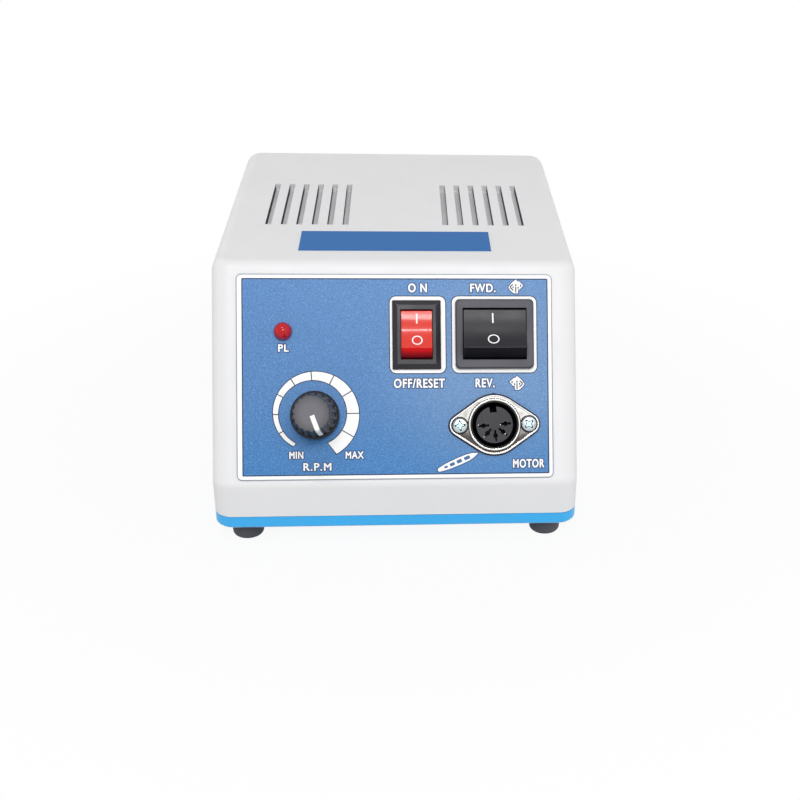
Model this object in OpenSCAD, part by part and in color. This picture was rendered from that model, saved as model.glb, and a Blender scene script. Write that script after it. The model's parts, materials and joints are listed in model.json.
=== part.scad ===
// Bench control unit of a dental micromotor set: a sloped console case with its controls and works.
// Millimetres, +Z up, front towards -Y, origin at the middle of the footprint at floor level.

/* [Case] */
// Width of the case
case_w = 116.5; // [114:0.5:124]
// Depth of the case from the front band to the back wall
case_d = 155; // [152:1:168]
// Height of the vertical band below the sloped front
band_h = 11.5; // [10:0.5:16]
// Rise of the sloped front
slope_h = 61.2; // [60:0.2:68]
// Lean of the sloped front from upright
slope_angle = 30; // [27:0.5:33]
// Wall of the upper cover
wall = 2.5; // [2:0.1:3]
// Radius of the upright corners in plan
corner_r = 6; // [5:0.5:8]
// Radius of the top and sloped edges
edge_r = 4.5; // [3.5:0.5:5]
// Gap of the seam between cover and tray
seam_gap = 0.2; // [0.1:0.1:0.5]

/* [Tray and feet] */
// Height of the tray strip that shows below the cover
tray_h = 4.5; // [3.5:0.5:6]
// Floor of the tray
floor_t = 2.2; // [1.8:0.1:2.6]
// Height of the locating rim above the seam
rim_h = 3; // [2:0.5:5]
// Wall of the locating rim
rim_t = 1.4; // [1.2:0.1:1.8]
// Chamfer round the underside of the tray
tray_chamfer = 0.8; // [0.4:0.2:1.2]
// Height of the rubber feet
foot_h = 7; // [5:0.5:9]
// Radius of a foot at the tray
foot_r = 5.4; // [5.1:0.1:5.6]
// Radius of the flat under a foot
foot_flat_r = 4.2; // [3.6:0.1:4.2]
// Distance of a foot's axis from the case walls
foot_inset = 9.5; // [9:0.5:11]
// Radius of a case screw
case_screw_r = 1.5; // [1.3:0.1:1.7]
// Radius of the screw posts inside the cover
post_r = 3.5; // [3:0.1:3.8]

/* [Vents and label] */
// Slots in each vent group
vent_count = 6; // [4:1:6]
// Width of a vent slot
vent_w = 2; // [1.5:0.1:2.5]
// Length of a vent slot
vent_l = 43; // [30:1:50]
// Spacing of the vent slots
vent_pitch = 5.2; // [4.5:0.1:5.4]
// Distance from the middle of the case to the first slot's axis
vent_x = 17; // [15:0.5:19]
// Distance of the vents behind the front edge of the top
vent_back = 34.5; // [32:0.5:38]
// Thickness of the dust screen under the vents
screen_t = 0.5; // [0.3:0.1:0.8]
// Width of the top label
label_w = 62.4; // [50:0.2:70]
// Depth of the top label
label_d = 17.5; // [14:0.5:20]
// Distance of the label behind the front edge of the top
label_back = 9.8; // [8:0.2:11]
// Thickness of the label and of the front overlay
overlay_t = 0.3; // [0.2:0.05:0.4]

/* [Front overlay] */
// Margin between the overlay and the sides of the case
overlay_side = 8.25; // [7:0.25:9]
// Height of the front overlay along the slope
overlay_h = 65.2; // [63:0.2:66]
// Distance of the overlay's lower edge above the bend
overlay_low = 1.6; // [1.4:0.1:2.4]
// Corner radius of the overlay
overlay_r = 1.7; // [1:0.1:3]

/* [Rocker switches] */
// Width of the power switch bezel
power_bezel_w = 15.4; // [14.6:0.1:16]
// Length of the power switch bezel
power_bezel_l = 22; // [20.6:0.1:22.6]
// Width of the power rocker
power_rocker_w = 9.7; // [9:0.1:10]
// Half length of the power rocker
power_rocker_r = 7.8; // [7.2:0.1:7.9]
// Width of the direction switch bezel
turn_bezel_w = 25; // [23.6:0.1:25.4]
// Length of the direction switch bezel
turn_bezel_l = 22.2; // [20.8:0.1:22.6]
// Width of the direction rocker
turn_rocker_w = 20; // [19:0.1:20.2]
// Half length of the direction rocker
turn_rocker_r = 8.1; // [7.4:0.1:8.2]
// Width of the rear mode switch bezel
mode_bezel_w = 10.5; // [10.2:0.1:11.5]
// Length of the rear mode switch bezel
mode_bezel_l = 15; // [14.6:0.1:16]
// Width of the mode rocker
mode_rocker_w = 5.6; // [5:0.1:5.8]
// Half length of the mode rocker
mode_rocker_r = 4.9; // [4.6:0.1:5]
// Height of the switch bezels
bezel_t = 2; // [1.6:0.1:2.4]
// Tilt of the rockers to either side
rocker_tilt = 17; // [12:1:17]
// Radius of the rocker trunnions
trunnion_r = 1; // [0.8:0.1:1.1]
// Depth of the switch housings behind the panel
switch_d = 13; // [12:0.5:16]

/* [Speed control] */
// Radius of the knob's skirt
knob_r = 7.65; // [7.4:0.05:8.2]
// Radius of the knob's top
knob_top_r = 5.7; // [5:0.1:5.8]
// Height of the knob
knob_h = 17; // [14:0.5:18]
// Gap between the knob and the overlay
knob_gap = 0.8; // [0.4:0.1:1.2]
// Grip flutes round the knob
flute_count = 18; // [12:1:20]
// Radius of a grip flute
flute_r = 0.7; // [0.4:0.05:0.7]
// Width of the white pointer
pointer_w = 1.5; // [1.2:0.1:1.8]
// Turn of the pointer from straight up, clockwise, at rest
pointer_turn = 160; // [120:5:170]
// Radius of the control's shaft
shaft_r = 3; // [2.8:0.1:3.2]
// Radius of the control's case
pot_r = 8.3; // [8:0.1:9]
// Depth of the control's case
pot_d = 8; // [7.5:0.5:10]
// Radius of the threaded bush
bush_r = 4.2; // [4.1:0.1:4.6]

/* [Pilot lamp] */
// Radius of the lamp's dome
led_r = 2.8; // [2.4:0.1:3]
// Height of the dome above the panel
led_h = 4; // [3:0.2:5]

/* [Motor socket] */
// Radius of the socket's collar
collar_r = 8.2; // [8:0.1:8.6]
// Wall of the collar
collar_t = 0.5; // [0.4:0.05:0.6]
// Height of the collar above the flange
collar_h = 0.9; // [0.6:0.1:1.4]
// Half height of the diamond flange
flange_r = 9.5; // [9.3:0.1:10]
// Radius of the flange's ears
ear_r = 3.3; // [3.1:0.1:3.6]
// Distance of each fixing screw from the socket's axis
ear_x = 11; // [10.8:0.1:11.4]
// Thickness of the flange
flange_t = 0.9; // [0.7:0.1:1.2]
// Radius of the island that carries the contacts
island_r = 5.85; // [5.6:0.05:6.1]
// Radius of the circle of contacts
contact_ring_r = 3.5; // [3.3:0.1:3.6]
// Turn of the socket in its hole
socket_turn = 1; // [0:1:8]
// Turn of the contacts in the socket
insert_turn = 4; // [0:1:8]
// Depth of the plug groove
groove_d = 7; // [6:0.5:8]
// Radius of a socket fixing screw
socket_screw_r = 1.25; // [1.1:0.05:1.4]

/* [Places on the sloped front] */
// Speed control from the overlay's left edge
knob_in = 24.5; // [23:0.5:26]
// Speed control above the bend
knob_q = 22; // [21:0.2:24]
// Pilot lamp from the overlay's left edge
led_in = 14.6; // [13:0.2:17]
// Pilot lamp above the bend
led_q = 48.6; // [46:0.2:52]
// Power switch from the overlay's right edge
power_in = 43.4; // [42:0.2:44]
// Power switch above the bend
power_q = 47.4; // [45.2:0.2:49]
// Direction switch from the overlay's right edge
turn_in = 18.6; // [17:0.2:20]
// Direction switch above the bend
turn_q = 47.6; // [45.4:0.2:49]
// Motor socket from the overlay's right edge
socket_in = 18.9; // [18:0.1:20]
// Motor socket above the bend
socket_q = 18.6; // [17:0.2:20]

/* [Places on the back] */
// Cord grommet from the left side of the case
grommet_in = 25; // [24:0.5:28]
// Cord grommet above the floor
grommet_z = 30; // [28:1:34]
// Fuse holder from the middle
fuse_x = -8; // [-10:0.5:-6]
// Fuse holder above the floor
fuse_z = 36; // [34:1:40]
// Mode switch from the middle
mode_x = 14; // [12:0.5:16]
// Mode switch above the floor
mode_z = 38; // [36:1:44]
// Pedal jack from the right side of the case
jack_in = 23; // [22:0.5:25]
// Pedal jack above the floor
jack_z = 36; // [34:1:40]

/* [Rear fittings] */
// Radius of the grommet's cord hole
cord_r = 3.3; // [2.8:0.1:3.6]
// Radius of the grommet's neck
grommet_r = 5.5; // [5.2:0.1:6]
// Radius of the grommet's flanges
grommet_flange_r = 7.4; // [7:0.1:8]
// Reach of the grommet outside the wall
grommet_reach = 4; // [3:0.5:6]
// Radius of the fuse holder's barrel
fuse_barrel_r = 6.2; // [6:0.1:6.8]
// Radius of the fuse holder's flange
fuse_flange_r = 8; // [7.6:0.1:9]
// Length of the fuse holder behind the wall
fuse_barrel_l = 31; // [30:0.5:33]
// Radius of the fuse cap's grip
fuse_cap_r = 6; // [5.6:0.1:6.4]
// Reach of the fuse cap beyond the flange
fuse_cap_h = 7.5; // [6:0.5:9]
// Radius of the fuse cap's plug
fuse_plug_r = 4; // [3.8:0.1:4.4]
// Radius of the jack's plug hole
jack_r = 3.2; // [3:0.1:3.4]
// Radius of the jack's threaded neck
jack_neck_r = 4.6; // [4.5:0.1:5]
// Depth of the jack's plug hole
jack_d = 18; // [16:0.5:20]

/* [Works] */
// Gap between the transformer's coil and the side wall
coil_side = 1.5; // [1:0.5:3]
// Transformer's axis in front of the back of the case
core_back = 73; // [69:0.5:75]
// Width of the transformer's laminations
core_w = 57; // [54:0.5:60]
// Height of the transformer's laminations
core_h = 48; // [46:0.5:52]
// Stack of the laminations
core_t = 20; // [18:0.5:22]
// Width of the centre leg
core_leg = 19; // [18:0.5:20]
// Gap between the circuit board and the side wall
board_side = 3; // [2:0.5:4]
// Circuit board's rear edge in front of the back of the case
board_back = 25; // [24:0.5:27]
// Width of the circuit board
board_w = 54; // [52:0.5:56]
// Length of the circuit board
board_l = 80; // [78:0.5:82]
// Height of the circuit board above the tray floor
board_lift = 6; // [5:0.5:8]

/* [Hidden] */
$fn = 64;

// Fineness of rounded hull corners, overshoot of cutting shapes and clearances
bead_fn = 36;
over = 1;
seat = 0.05;
slip = 0.06;
cut_gap = 0.15;
open_gap = 0.2;

// Heights and places of the case
seam_z = foot_h + tray_h;
floor_z = foot_h + floor_t;
bend_z = seam_z + band_h;
top_z = bend_z + slope_h;
crease_y = slope_h * tan(slope_angle);
under_top = top_z - wall;
bead_core = corner_r - edge_r;
bend_bead_z = bend_z - edge_r * tan(slope_angle / 2);
crease_bead_y = crease_y + edge_r * tan(45 - slope_angle / 2) + bead_core;
foot_x = case_w / 2 - foot_inset;
foot_ys = [foot_inset, case_d - foot_inset];
vent_y = crease_y + vent_back;

// Places of the controls and the rear fittings, from the edges that they follow
overlay_w = case_w - 2 * overlay_side;
knob_p = knob_in - overlay_w / 2;
led_p = led_in - overlay_w / 2;
power_p = overlay_w / 2 - power_in;
turn_p = overlay_w / 2 - turn_in;
socket_p = overlay_w / 2 - socket_in;
grommet_x = grommet_in - case_w / 2;
jack_x = case_w / 2 - jack_in;

// Shares of the front that the knob and the fuse cap add to the depth
knob_top_n = overlay_t + knob_gap + knob_h;
front_reach = knob_top_n * cos(slope_angle) - (knob_q - knob_top_r) * sin(slope_angle);
fuse_flange_t = 1.8;
rear_reach = fuse_flange_t + open_gap + fuse_cap_h;
mid_y = (case_d + rear_reach - front_reach) / 2;

// Places of the parts' frames
module in_case(x, y, z) {
    translate([x, y - mid_y, z]) children();
}

module on_panel(p, q) {
    in_case(0, 0, bend_z) rotate([90 - slope_angle, 0, 0]) translate([p, q, 0]) children();
}

module on_back(x, z) {
    in_case(x, case_d, z) rotate([90, 0, 180]) children();
}

module at_feet() {
    for (sx = [-1, 1], y = foot_ys) in_case(sx * foot_x, y, 0) children();
}

// Shapes used more than once
module block(size, z = 0) {
    translate([-size[0] / 2, -size[1] / 2, z]) cube(size);
}

module tube(outer, inner, h) {
    difference() {
        cylinder(r = outer, h = h);
        translate([0, 0, -over]) cylinder(r = inner, h = h + 2 * over);
    }
}

module hex(flats, h) {
    cylinder(r = flats / sqrt(3), h = h, $fn = 6);
}

// Corner arcs of a rounded rectangle, a quarter turn each
arc_steps = 6;
function rounded_points(w, l, r) = [
    for (quarter = [0:3], step = [0:arc_steps])
        let (
            sx = quarter == 0 || quarter == 3 ? 1 : -1,
            sy = quarter < 2 ? 1 : -1,
            a = quarter * 90 + step * 90 / arc_steps
        )
        [sx * (w / 2 - r) + r * cos(a), sy * (l / 2 - r) + r * sin(a)]
];

module rounded_plate(w, l, r, h) {
    linear_extrude(h) polygon(rounded_points(w, l, r));
}

// The case outline in plan, stepped in from the outer wall
module case_plan(inset, h) {
    translate([0, case_d / 2 - mid_y, 0])
        rounded_plate(case_w - 2 * inset, case_d - 2 * inset, max(corner_r - inset, 0.5), h);
}

module edge_bead(y, z, inset) {
    for (sx = [-1, 1])
        in_case(sx * (case_w / 2 - corner_r), y, z)
            rotate_extrude($fn = bead_fn) intersection() {
                translate([bead_core, 0]) circle(edge_r - inset, $fn = bead_fn);
                translate([0, -edge_r]) square([corner_r, 2 * edge_r]);
            }
}

// The console form of the case, stepped in from the outer skin
module case_form(inset, low) {
    hull() {
        edge_bead(corner_r, bend_bead_z, inset);
        edge_bead(crease_bead_y, top_z - edge_r, inset);
        edge_bead(case_d - corner_r, top_z - edge_r, inset);
        for (sx = [-1, 1], y = [corner_r, case_d - corner_r])
            in_case(sx * (case_w / 2 - corner_r), y, low)
                cylinder(r = corner_r - inset, h = over, $fn = bead_fn);
    }
}

// Case
module vent_slots(depth) {
    for (sx = [-1, 1], i = [0:vent_count - 1])
        in_case(sx * (vent_x + i * vent_pitch), vent_y + vent_l / 2, top_z - depth)
            block([vent_w, vent_l, depth + over]);
}

module control_cuts(low, high) {
    on_panel(knob_p, knob_q) translate([0, 0, low]) cylinder(r = bush_r + cut_gap, h = high - low);
    on_panel(led_p, led_q) translate([0, 0, low]) cylinder(r = led_r + seat, h = high - low);
    on_panel(socket_p, socket_q) translate([0, 0, low]) cylinder(r = collar_r + cut_gap, h = high - low);
    on_panel(socket_p, socket_q) rotate(socket_turn)
        for (sx = [-1, 1])
            translate([sx * ear_x, 0, low]) cylinder(r = socket_screw_r + cut_gap, h = high - low);
    on_panel(power_p, power_q) switch_cut(power_rocker_w, power_rocker_r, low, high);
    on_panel(turn_p, turn_q) switch_cut(turn_rocker_w, turn_rocker_r, low, high);
}

module rear_cuts() {
    deep = wall + over;
    full = deep + over;
    on_back(grommet_x, grommet_z) translate([0, 0, -deep]) cylinder(r = grommet_r + seat, h = full);
    on_back(fuse_x, fuse_z) translate([0, 0, -deep]) cylinder(r = fuse_barrel_r + cut_gap, h = full);
    on_back(jack_x, jack_z) translate([0, 0, -deep]) cylinder(r = jack_neck_r + cut_gap, h = full);
    on_back(mode_x, mode_z) switch_cut(mode_rocker_w, mode_rocker_r, -deep, over);
}

module upper_cover() {
    pilot_l = 16;
    color("whitesmoke") difference() {
        union() {
            difference() {
                case_form(0, seam_z);
                case_form(wall, seam_z - over);
            }
            intersection() {
                at_feet() translate([0, 0, seam_z]) cylinder(r = post_r, h = top_z);
                case_form(wall / 2, seam_z);
            }
        }
        at_feet() translate([0, 0, seam_z - over]) cylinder(r = case_screw_r + seat, h = pilot_l + over);
        control_cuts(-wall - over, over);
        rear_cuts();
        vent_slots(wall + over);
    }
}

module base_tray() {
    rim_gap = 0.2;
    rim_inset = wall + rim_gap;
    pocket_inset = rim_inset + rim_t;
    color("deepskyblue") difference() {
        union() {
            hull() {
                translate([0, 0, foot_h]) case_plan(tray_chamfer, tray_chamfer);
                translate([0, 0, foot_h + tray_chamfer]) case_plan(0, tray_h - seam_gap - tray_chamfer);
            }
            difference() {
                translate([0, 0, floor_z]) case_plan(rim_inset, tray_h - floor_t + rim_h);
                translate([0, 0, floor_z]) case_plan(pocket_inset, tray_h + rim_h);
            }
        }
        difference() {
            translate([0, 0, floor_z]) case_plan(pocket_inset, tray_h + rim_h);
            at_feet() cylinder(r = post_r, h = seam_z);
            at_board_corners() cylinder(r = standoff_r, h = floor_z + board_lift);
            in_case(core_x, core_y, 0)
                block([strap_w, core_w + 2 * strap_foot, floor_z + core_pad]);
        }
        at_feet() translate([0, 0, foot_h - over]) cylinder(r = case_screw_r + cut_gap, h = top_z);
        at_board_corners() translate([0, 0, floor_z])
            cylinder(r = board_screw_r + seat, h = board_lift + over);
        at_core_feet() translate([0, 0, floor_z - over])
            cylinder(r = core_screw_r + seat, h = core_pad + 2 * over);
    }
}

foot_round = 1.2;
foot_bulge = 0.84;
counterbore_r = 2.9;
counterbore_h = 3.2;
screw_head_r = 2.7;
screw_head_h = 1.6;
screw_bite = 12;

module rubber_feet() {
    side_r = foot_flat_r + foot_bulge;
    curve = [
        for (a = [0:15:90])
            [foot_flat_r + (side_r - foot_flat_r) * sin(a), foot_round * (1 - cos(a))]
    ];
    hole_r = case_screw_r + seat;
    bore = [[foot_r, foot_h], [hole_r, foot_h], [hole_r, counterbore_h], [counterbore_r, counterbore_h]];
    color("dimgray") at_feet()
        rotate_extrude() polygon(concat([[counterbore_r, 0]], curve, bore));
}

module case_screws() {
    color("silver") at_feet() {
        translate([0, 0, counterbore_h - screw_head_h]) cylinder(r = screw_head_r, h = screw_head_h);
        translate([0, 0, counterbore_h]) cylinder(r = case_screw_r, h = seam_z + screw_bite - counterbore_h);
    }
}

module dust_screens() {
    margin = 2;
    span = (vent_count - 1) * vent_pitch;
    color("gainsboro")
        for (sx = [-1, 1])
            in_case(sx * (vent_x + span / 2), vent_y + vent_l / 2, under_top - screen_t)
                block([span + vent_w + 2 * margin, vent_l + 2 * margin, screen_t]);
}

module top_label() {
    color("royalblue") in_case(0, crease_y + label_back + label_d / 2, top_z)
        block([label_w, label_d, overlay_t]);
}

module front_overlay() {
    color("steelblue") difference() {
        on_panel(0, overlay_low + overlay_h / 2) rounded_plate(overlay_w, overlay_h, overlay_r, overlay_t);
        control_cuts(-over, over);
    }
}

// Rocker switches: a rocker turns on two trunnions in the cheeks of its housing
cheek_t = 1.4;
pivot_n = -0.4;
rocker_low = 3.5;
rocker_corner = 37.5;
rocker_dish = 1;
end_gap = 0.15;
trunnion_l = 1;
blade_w = 4.8;
blade_t = 0.8;
blade_l = 7;
power_blade_q = 3.8;
turn_blade_p = 5;
turn_blade_q = 5.5;
mode_blade_q = 3.9;

// Corner radius, bevel and upright rim of each bezel
power_corner = 0.4;
power_bevel = 1.6;
power_rim = 0.7;
turn_corner = 1.4;
turn_bevel = 0.5;
turn_rim = 1.4;
mode_corner = 0.4;
mode_bevel = 0.8;
mode_rim = 1;

function opening_w(rocker_w) = rocker_w + 2 * open_gap;
function opening_l(rocker_r) = 2 * (rocker_r + end_gap);
function rocker_drop(rocker_r) =
    rocker_low * cos(rocker_tilt) + sqrt(rocker_r * rocker_r - rocker_low * rocker_low) * sin(rocker_tilt);

module switch_cut(rocker_w, rocker_r, low, high) {
    grow = 2 * (cheek_t + cut_gap);
    block([opening_w(rocker_w) + grow, opening_l(rocker_r) + grow, high - low], low);
}

module trunnions(rocker_w, r, reach) {
    rotate([0, 90, 0]) cylinder(r = r, h = opening_w(rocker_w) + 2 * reach, center = true);
}

module bezel(w, l, r, bevel, rise) {
    hull() {
        rounded_plate(w, l, r, rise);
        rounded_plate(w - 2 * bevel, l - 2 * bevel, r, bezel_t);
    }
}

module switch_housing(rocker_w, rocker_r, base) {
    hollow = rocker_drop(rocker_r) + open_gap;
    difference() {
        union() {
            translate([0, 0, base]) children();
            block([
                opening_w(rocker_w) + 2 * cheek_t,
                opening_l(rocker_r) + 2 * cheek_t,
                switch_d + base
            ], -switch_d);
        }
        translate([0, 0, base + pivot_n]) {
            block([opening_w(rocker_w), opening_l(rocker_r), hollow + bezel_t - pivot_n + over], -hollow);
            trunnions(rocker_w, trunnion_r + slip, trunnion_l + end_gap);
        }
    }
}

module rocker(rocker_w, rocker_r, base) {
    corner_q = rocker_r * cos(rocker_corner);
    corner_n = rocker_r * sin(rocker_corner);
    dish_r = (corner_q * corner_q + rocker_dish * rocker_dish) / (2 * rocker_dish);
    translate([0, 0, base + pivot_n]) rotate([-rocker_tilt, 0, 0]) {
        difference() {
            rotate([0, 90, 0]) cylinder(r = rocker_r, h = rocker_w, center = true);
            block([rocker_w + over, 2 * rocker_r + over, 2 * rocker_r], -rocker_low - 2 * rocker_r);
            translate([0, 0, corner_n - rocker_dish + dish_r]) rotate([0, 90, 0])
                cylinder(r = dish_r, h = rocker_w + over, center = true);
        }
        trunnions(rocker_w, trunnion_r, trunnion_l);
    }
}

module blades(places) {
    color("goldenrod")
        for (place = places)
            translate([place[0], place[1], 0]) block([blade_w, blade_t, blade_l], -switch_d - blade_l);
}

module power_switch_body() {
    color("black") on_panel(power_p, power_q) switch_housing(power_rocker_w, power_rocker_r, overlay_t)
        bezel(power_bezel_w, power_bezel_l, power_corner, power_bevel, power_rim);
}

module power_rocker() {
    color("red") on_panel(power_p, power_q) rocker(power_rocker_w, power_rocker_r, overlay_t);
}

module power_switch_terminals() {
    on_panel(power_p, power_q) blades([for (sq = [-1, 1]) [0, sq * power_blade_q]]);
}

module direction_switch_body() {
    color("black") on_panel(turn_p, turn_q) switch_housing(turn_rocker_w, turn_rocker_r, overlay_t)
        bezel(turn_bezel_w, turn_bezel_l, turn_corner, turn_bevel, turn_rim);
}

module direction_rocker() {
    color("black") on_panel(turn_p, turn_q) rocker(turn_rocker_w, turn_rocker_r, overlay_t);
}

module direction_switch_terminals() {
    on_panel(turn_p, turn_q)
        blades([for (sx = [-1, 1], sq = [-1, 0, 1]) [sx * turn_blade_p, sq * turn_blade_q]]);
}

module mode_switch_body() {
    color("black") on_back(mode_x, mode_z) switch_housing(mode_rocker_w, mode_rocker_r, 0)
        bezel(mode_bezel_w, mode_bezel_l, mode_corner, mode_bevel, mode_rim);
}

module mode_rocker() {
    color("black") on_back(mode_x, mode_z) rocker(mode_rocker_w, mode_rocker_r, 0);
}

module mode_switch_terminals() {
    on_back(mode_x, mode_z) blades([for (sq = [-1, 0, 1]) [0, sq * mode_blade_q]]);
}

// Speed control: knob, pointer and the rotary control behind them
washer_t = 0.5;
washer_r = 6;
pot_nut_flats = 10;
pot_nut_t = 2;
plate_t = 1.2;
knob_base = overlay_t + knob_gap;
bush_reach = 0.8;
knob_cap = 3;
flat_cut = 1;
bush_top = overlay_t + washer_t + pot_nut_t + bush_reach;
shaft_top = knob_top_n - knob_cap;
shaft_flat = shaft_r - flat_cut;
pot_front = -wall - seat - plate_t;
pot_wall = 1;
wiper_t = 1.2;
skirt_h = 2.4;
skirt_step = 0.6;
knob_edge = 0.2;
flute_out = 0.25;
pointer_t = 0.6;
pointer_drop = 4.5;
lug_w = 1.4;
lug_t = 0.5;
lug_l = 6;

function knob_profile(shrink) = [
    [0, 0],
    [knob_r - shrink, 0],
    [knob_r - shrink, skirt_h],
    [knob_r - skirt_step - shrink, skirt_h + skirt_step],
    [knob_top_r - shrink, knob_h - knob_edge - shrink],
    [knob_top_r - knob_edge - shrink, knob_h - shrink],
    [0, knob_h - shrink]
];

module knob_form(shrink) {
    rotate_extrude() polygon(knob_profile(shrink));
}

module pointer_form() {
    rotate(-pointer_turn) difference() {
        intersection() {
            knob_form(0);
            translate([-pointer_w / 2, pointer_t, knob_h - pointer_drop]) cube([pointer_w, knob_r, knob_h]);
        }
        knob_form(pointer_t);
    }
}

module d_section(r, flat, h) {
    difference() {
        cylinder(r = r, h = h);
        translate([-2 * r, flat, -over]) cube([4 * r, 2 * r, h + 2 * over]);
    }
}

module knob_flutes() {
    grip_r = knob_r - skirt_step;
    grip_h = knob_h - skirt_h - skirt_step;
    lean = atan((grip_r - knob_top_r) / grip_h);
    for (i = [0:flute_count - 1])
        rotate(i * 360 / flute_count)
            translate([grip_r + flute_r * flute_out, 0, skirt_h + skirt_step]) rotate([0, -lean, 0])
                cylinder(r = flute_r, h = knob_h, $fn = 24);
}

module speed_knob() {
    recess_r = pot_nut_flats / sqrt(3) + open_gap;
    recess_h = bush_top - knob_base + open_gap;
    color("black") on_panel(knob_p, knob_q) translate([0, 0, knob_base]) difference() {
        knob_form(0);
        knob_flutes();
        pointer_form();
        translate([0, 0, -over]) cylinder(r = recess_r, h = recess_h + over);
        d_section(shaft_r + seat, shaft_flat + seat, shaft_top - knob_base + seat);
    }
}

module knob_pointer() {
    color("white") on_panel(knob_p, knob_q) translate([0, 0, knob_base]) difference() {
        pointer_form();
        knob_flutes();
    }
}

module pot_shaft() {
    shaft_low = pot_front - pot_d + pot_wall + open_gap;
    color("silver") on_panel(knob_p, knob_q) {
        translate([0, 0, shaft_low]) cylinder(r = shaft_r, h = bush_top - shaft_low);
        translate([0, 0, bush_top]) d_section(shaft_r, shaft_flat, shaft_top - bush_top);
    }
}

module pot_wiper() {
    color("peru") on_panel(knob_p, knob_q) translate([0, 0, pot_front - wiper_t - over])
        tube(pot_r - 2 * pot_wall, shaft_r + seat, wiper_t);
}

module pot_bush() {
    color("silver") on_panel(knob_p, knob_q) difference() {
        union() {
            translate([0, 0, pot_front]) cylinder(r = pot_r, h = plate_t);
            translate([0, 0, pot_front]) cylinder(r = bush_r, h = bush_top - pot_front);
        }
        translate([0, 0, pot_front - over]) cylinder(r = shaft_r + slip, h = bush_top - pot_front + 2 * over);
    }
}

module pot_case() {
    color("darkgray") on_panel(knob_p, knob_q) translate([0, 0, pot_front - pot_d]) difference() {
        cylinder(r = pot_r, h = pot_d);
        translate([0, 0, pot_wall]) cylinder(r = pot_r - pot_wall, h = pot_d);
    }
}

module pot_washer() {
    color("silver") on_panel(knob_p, knob_q) translate([0, 0, overlay_t])
        tube(washer_r, bush_r + seat, washer_t);
}

module pot_nut() {
    color("silver") on_panel(knob_p, knob_q) translate([0, 0, overlay_t + washer_t]) difference() {
        hex(pot_nut_flats, pot_nut_t);
        translate([0, 0, -over]) cylinder(r = bush_r + seat, h = pot_nut_t + 2 * over);
    }
}

module pot_terminals() {
    color("goldenrod") on_panel(knob_p, knob_q)
        for (i = [-1:1])
            translate([i * pot_r / 2, -pot_r / 2, 0])
                block([lug_w, lug_t, lug_l], pot_front - pot_d - lug_l);
}

// Pilot lamp
lamp_rim = 0.4;
lamp_rim_t = 1;
clip_wall = 1.4;
clip_lip = 0.6;
lead_l = 9;
lead_t = 0.5;

module pilot_lamp() {
    shank_h = led_h - led_r + wall + seat;
    color("crimson") on_panel(led_p, led_q) translate([0, 0, -wall - seat]) {
        rotate_extrude() {
            translate([0, -lamp_rim_t]) square([led_r + lamp_rim, lamp_rim_t]);
            square([led_r, shank_h]);
            intersection() {
                translate([0, shank_h]) circle(led_r);
                square([led_r, shank_h + led_r]);
            }
        }
    }
}

module lamp_clip() {
    clip_h = lamp_rim_t + seat + clip_lip;
    color("black") on_panel(led_p, led_q) translate([0, 0, -wall - seat - clip_h]) difference() {
        cylinder(r = led_r + lamp_rim + clip_wall, h = clip_h);
        translate([0, 0, clip_lip]) cylinder(r = led_r + lamp_rim + seat, h = clip_h);
        translate([0, 0, -over]) cylinder(r = led_r - lamp_rim, h = clip_h);
    }
}

module lamp_leads() {
    color("silver") on_panel(led_p, led_q)
        for (sx = [-1, 1])
            translate([sx * led_r / 2, 0, 0])
                block([lead_t, lead_t, lead_l], -wall - seat - lamp_rim_t - lead_l);
}

// Motor socket: a flanged metal shell with a moulded liner, and an island of five contacts on its base
flange_top = overlay_t + flange_t;
collar_top = flange_top + collar_h;
shell_d = 9;
back_lip = 1.5;
flange_lip_w = 0.5;
flange_lip_h = 0.25;
insert_r = collar_r - collar_t - seat;
insert_wall = 0.5;
island_drop = 0.6;
contact_count = 5;
contact_r = 0.55;
contact_tail = 4;
contact_sink = 2.6;
slit_l = 3.5;
slit_w = 0.7;
slit_d = 4;
pin_hole_r = 0.75;
key_w = 2.2;
key_d = 1.9;
socket_low = -shell_d - back_lip;
insert_top = collar_top - open_gap;
groove_n = insert_top - groove_d;
island_top = insert_top - island_drop;
bore_r = insert_r - insert_wall;
socket_head_r = 2.45;
socket_head_h = 1.2;
socket_nut_flats = 5;
socket_nut_t = 2;

module at_socket(n) {
    on_panel(socket_p, socket_q) rotate(socket_turn) translate([0, 0, n]) children();
}

module at_ears(n) {
    for (sx = [-1, 1]) at_socket(n) translate([sx * ear_x, 0, 0]) children();
}

module at_contacts(n) {
    for (i = [0:contact_count - 1])
        at_socket(n) rotate(insert_turn + 180 + i * 180 / (contact_count - 1)) translate([contact_ring_r, 0, 0]) children();
}

module flange_plan(inset) {
    hull() {
        circle(flange_r - inset);
        for (sx = [-1, 1]) translate([sx * ear_x, 0]) circle(ear_r - inset);
    }
}

module socket_shell() {
    color("silver") difference() {
        union() {
            at_socket(overlay_t) linear_extrude(flange_t + flange_lip_h) flange_plan(0);
            at_socket(-shell_d) cylinder(r = collar_r, h = shell_d + collar_top);
        }
        at_socket(-shell_d - over) cylinder(r = collar_r - collar_t, h = shell_d + collar_top + 2 * over);
        at_socket(flange_top) linear_extrude(flange_lip_h + over) difference() {
            flange_plan(flange_lip_w);
            circle(collar_r);
        }
        at_ears(0) cylinder(r = socket_screw_r + cut_gap, h = flange_top + over);
    }
}

module socket_insulator() {
    color("black") at_socket(0) rotate_extrude() polygon([
        [bore_r, socket_low],
        [collar_r, socket_low],
        [collar_r, -shell_d],
        [insert_r, -shell_d],
        [insert_r, insert_top],
        [bore_r, insert_top]
    ]);
}

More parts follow.
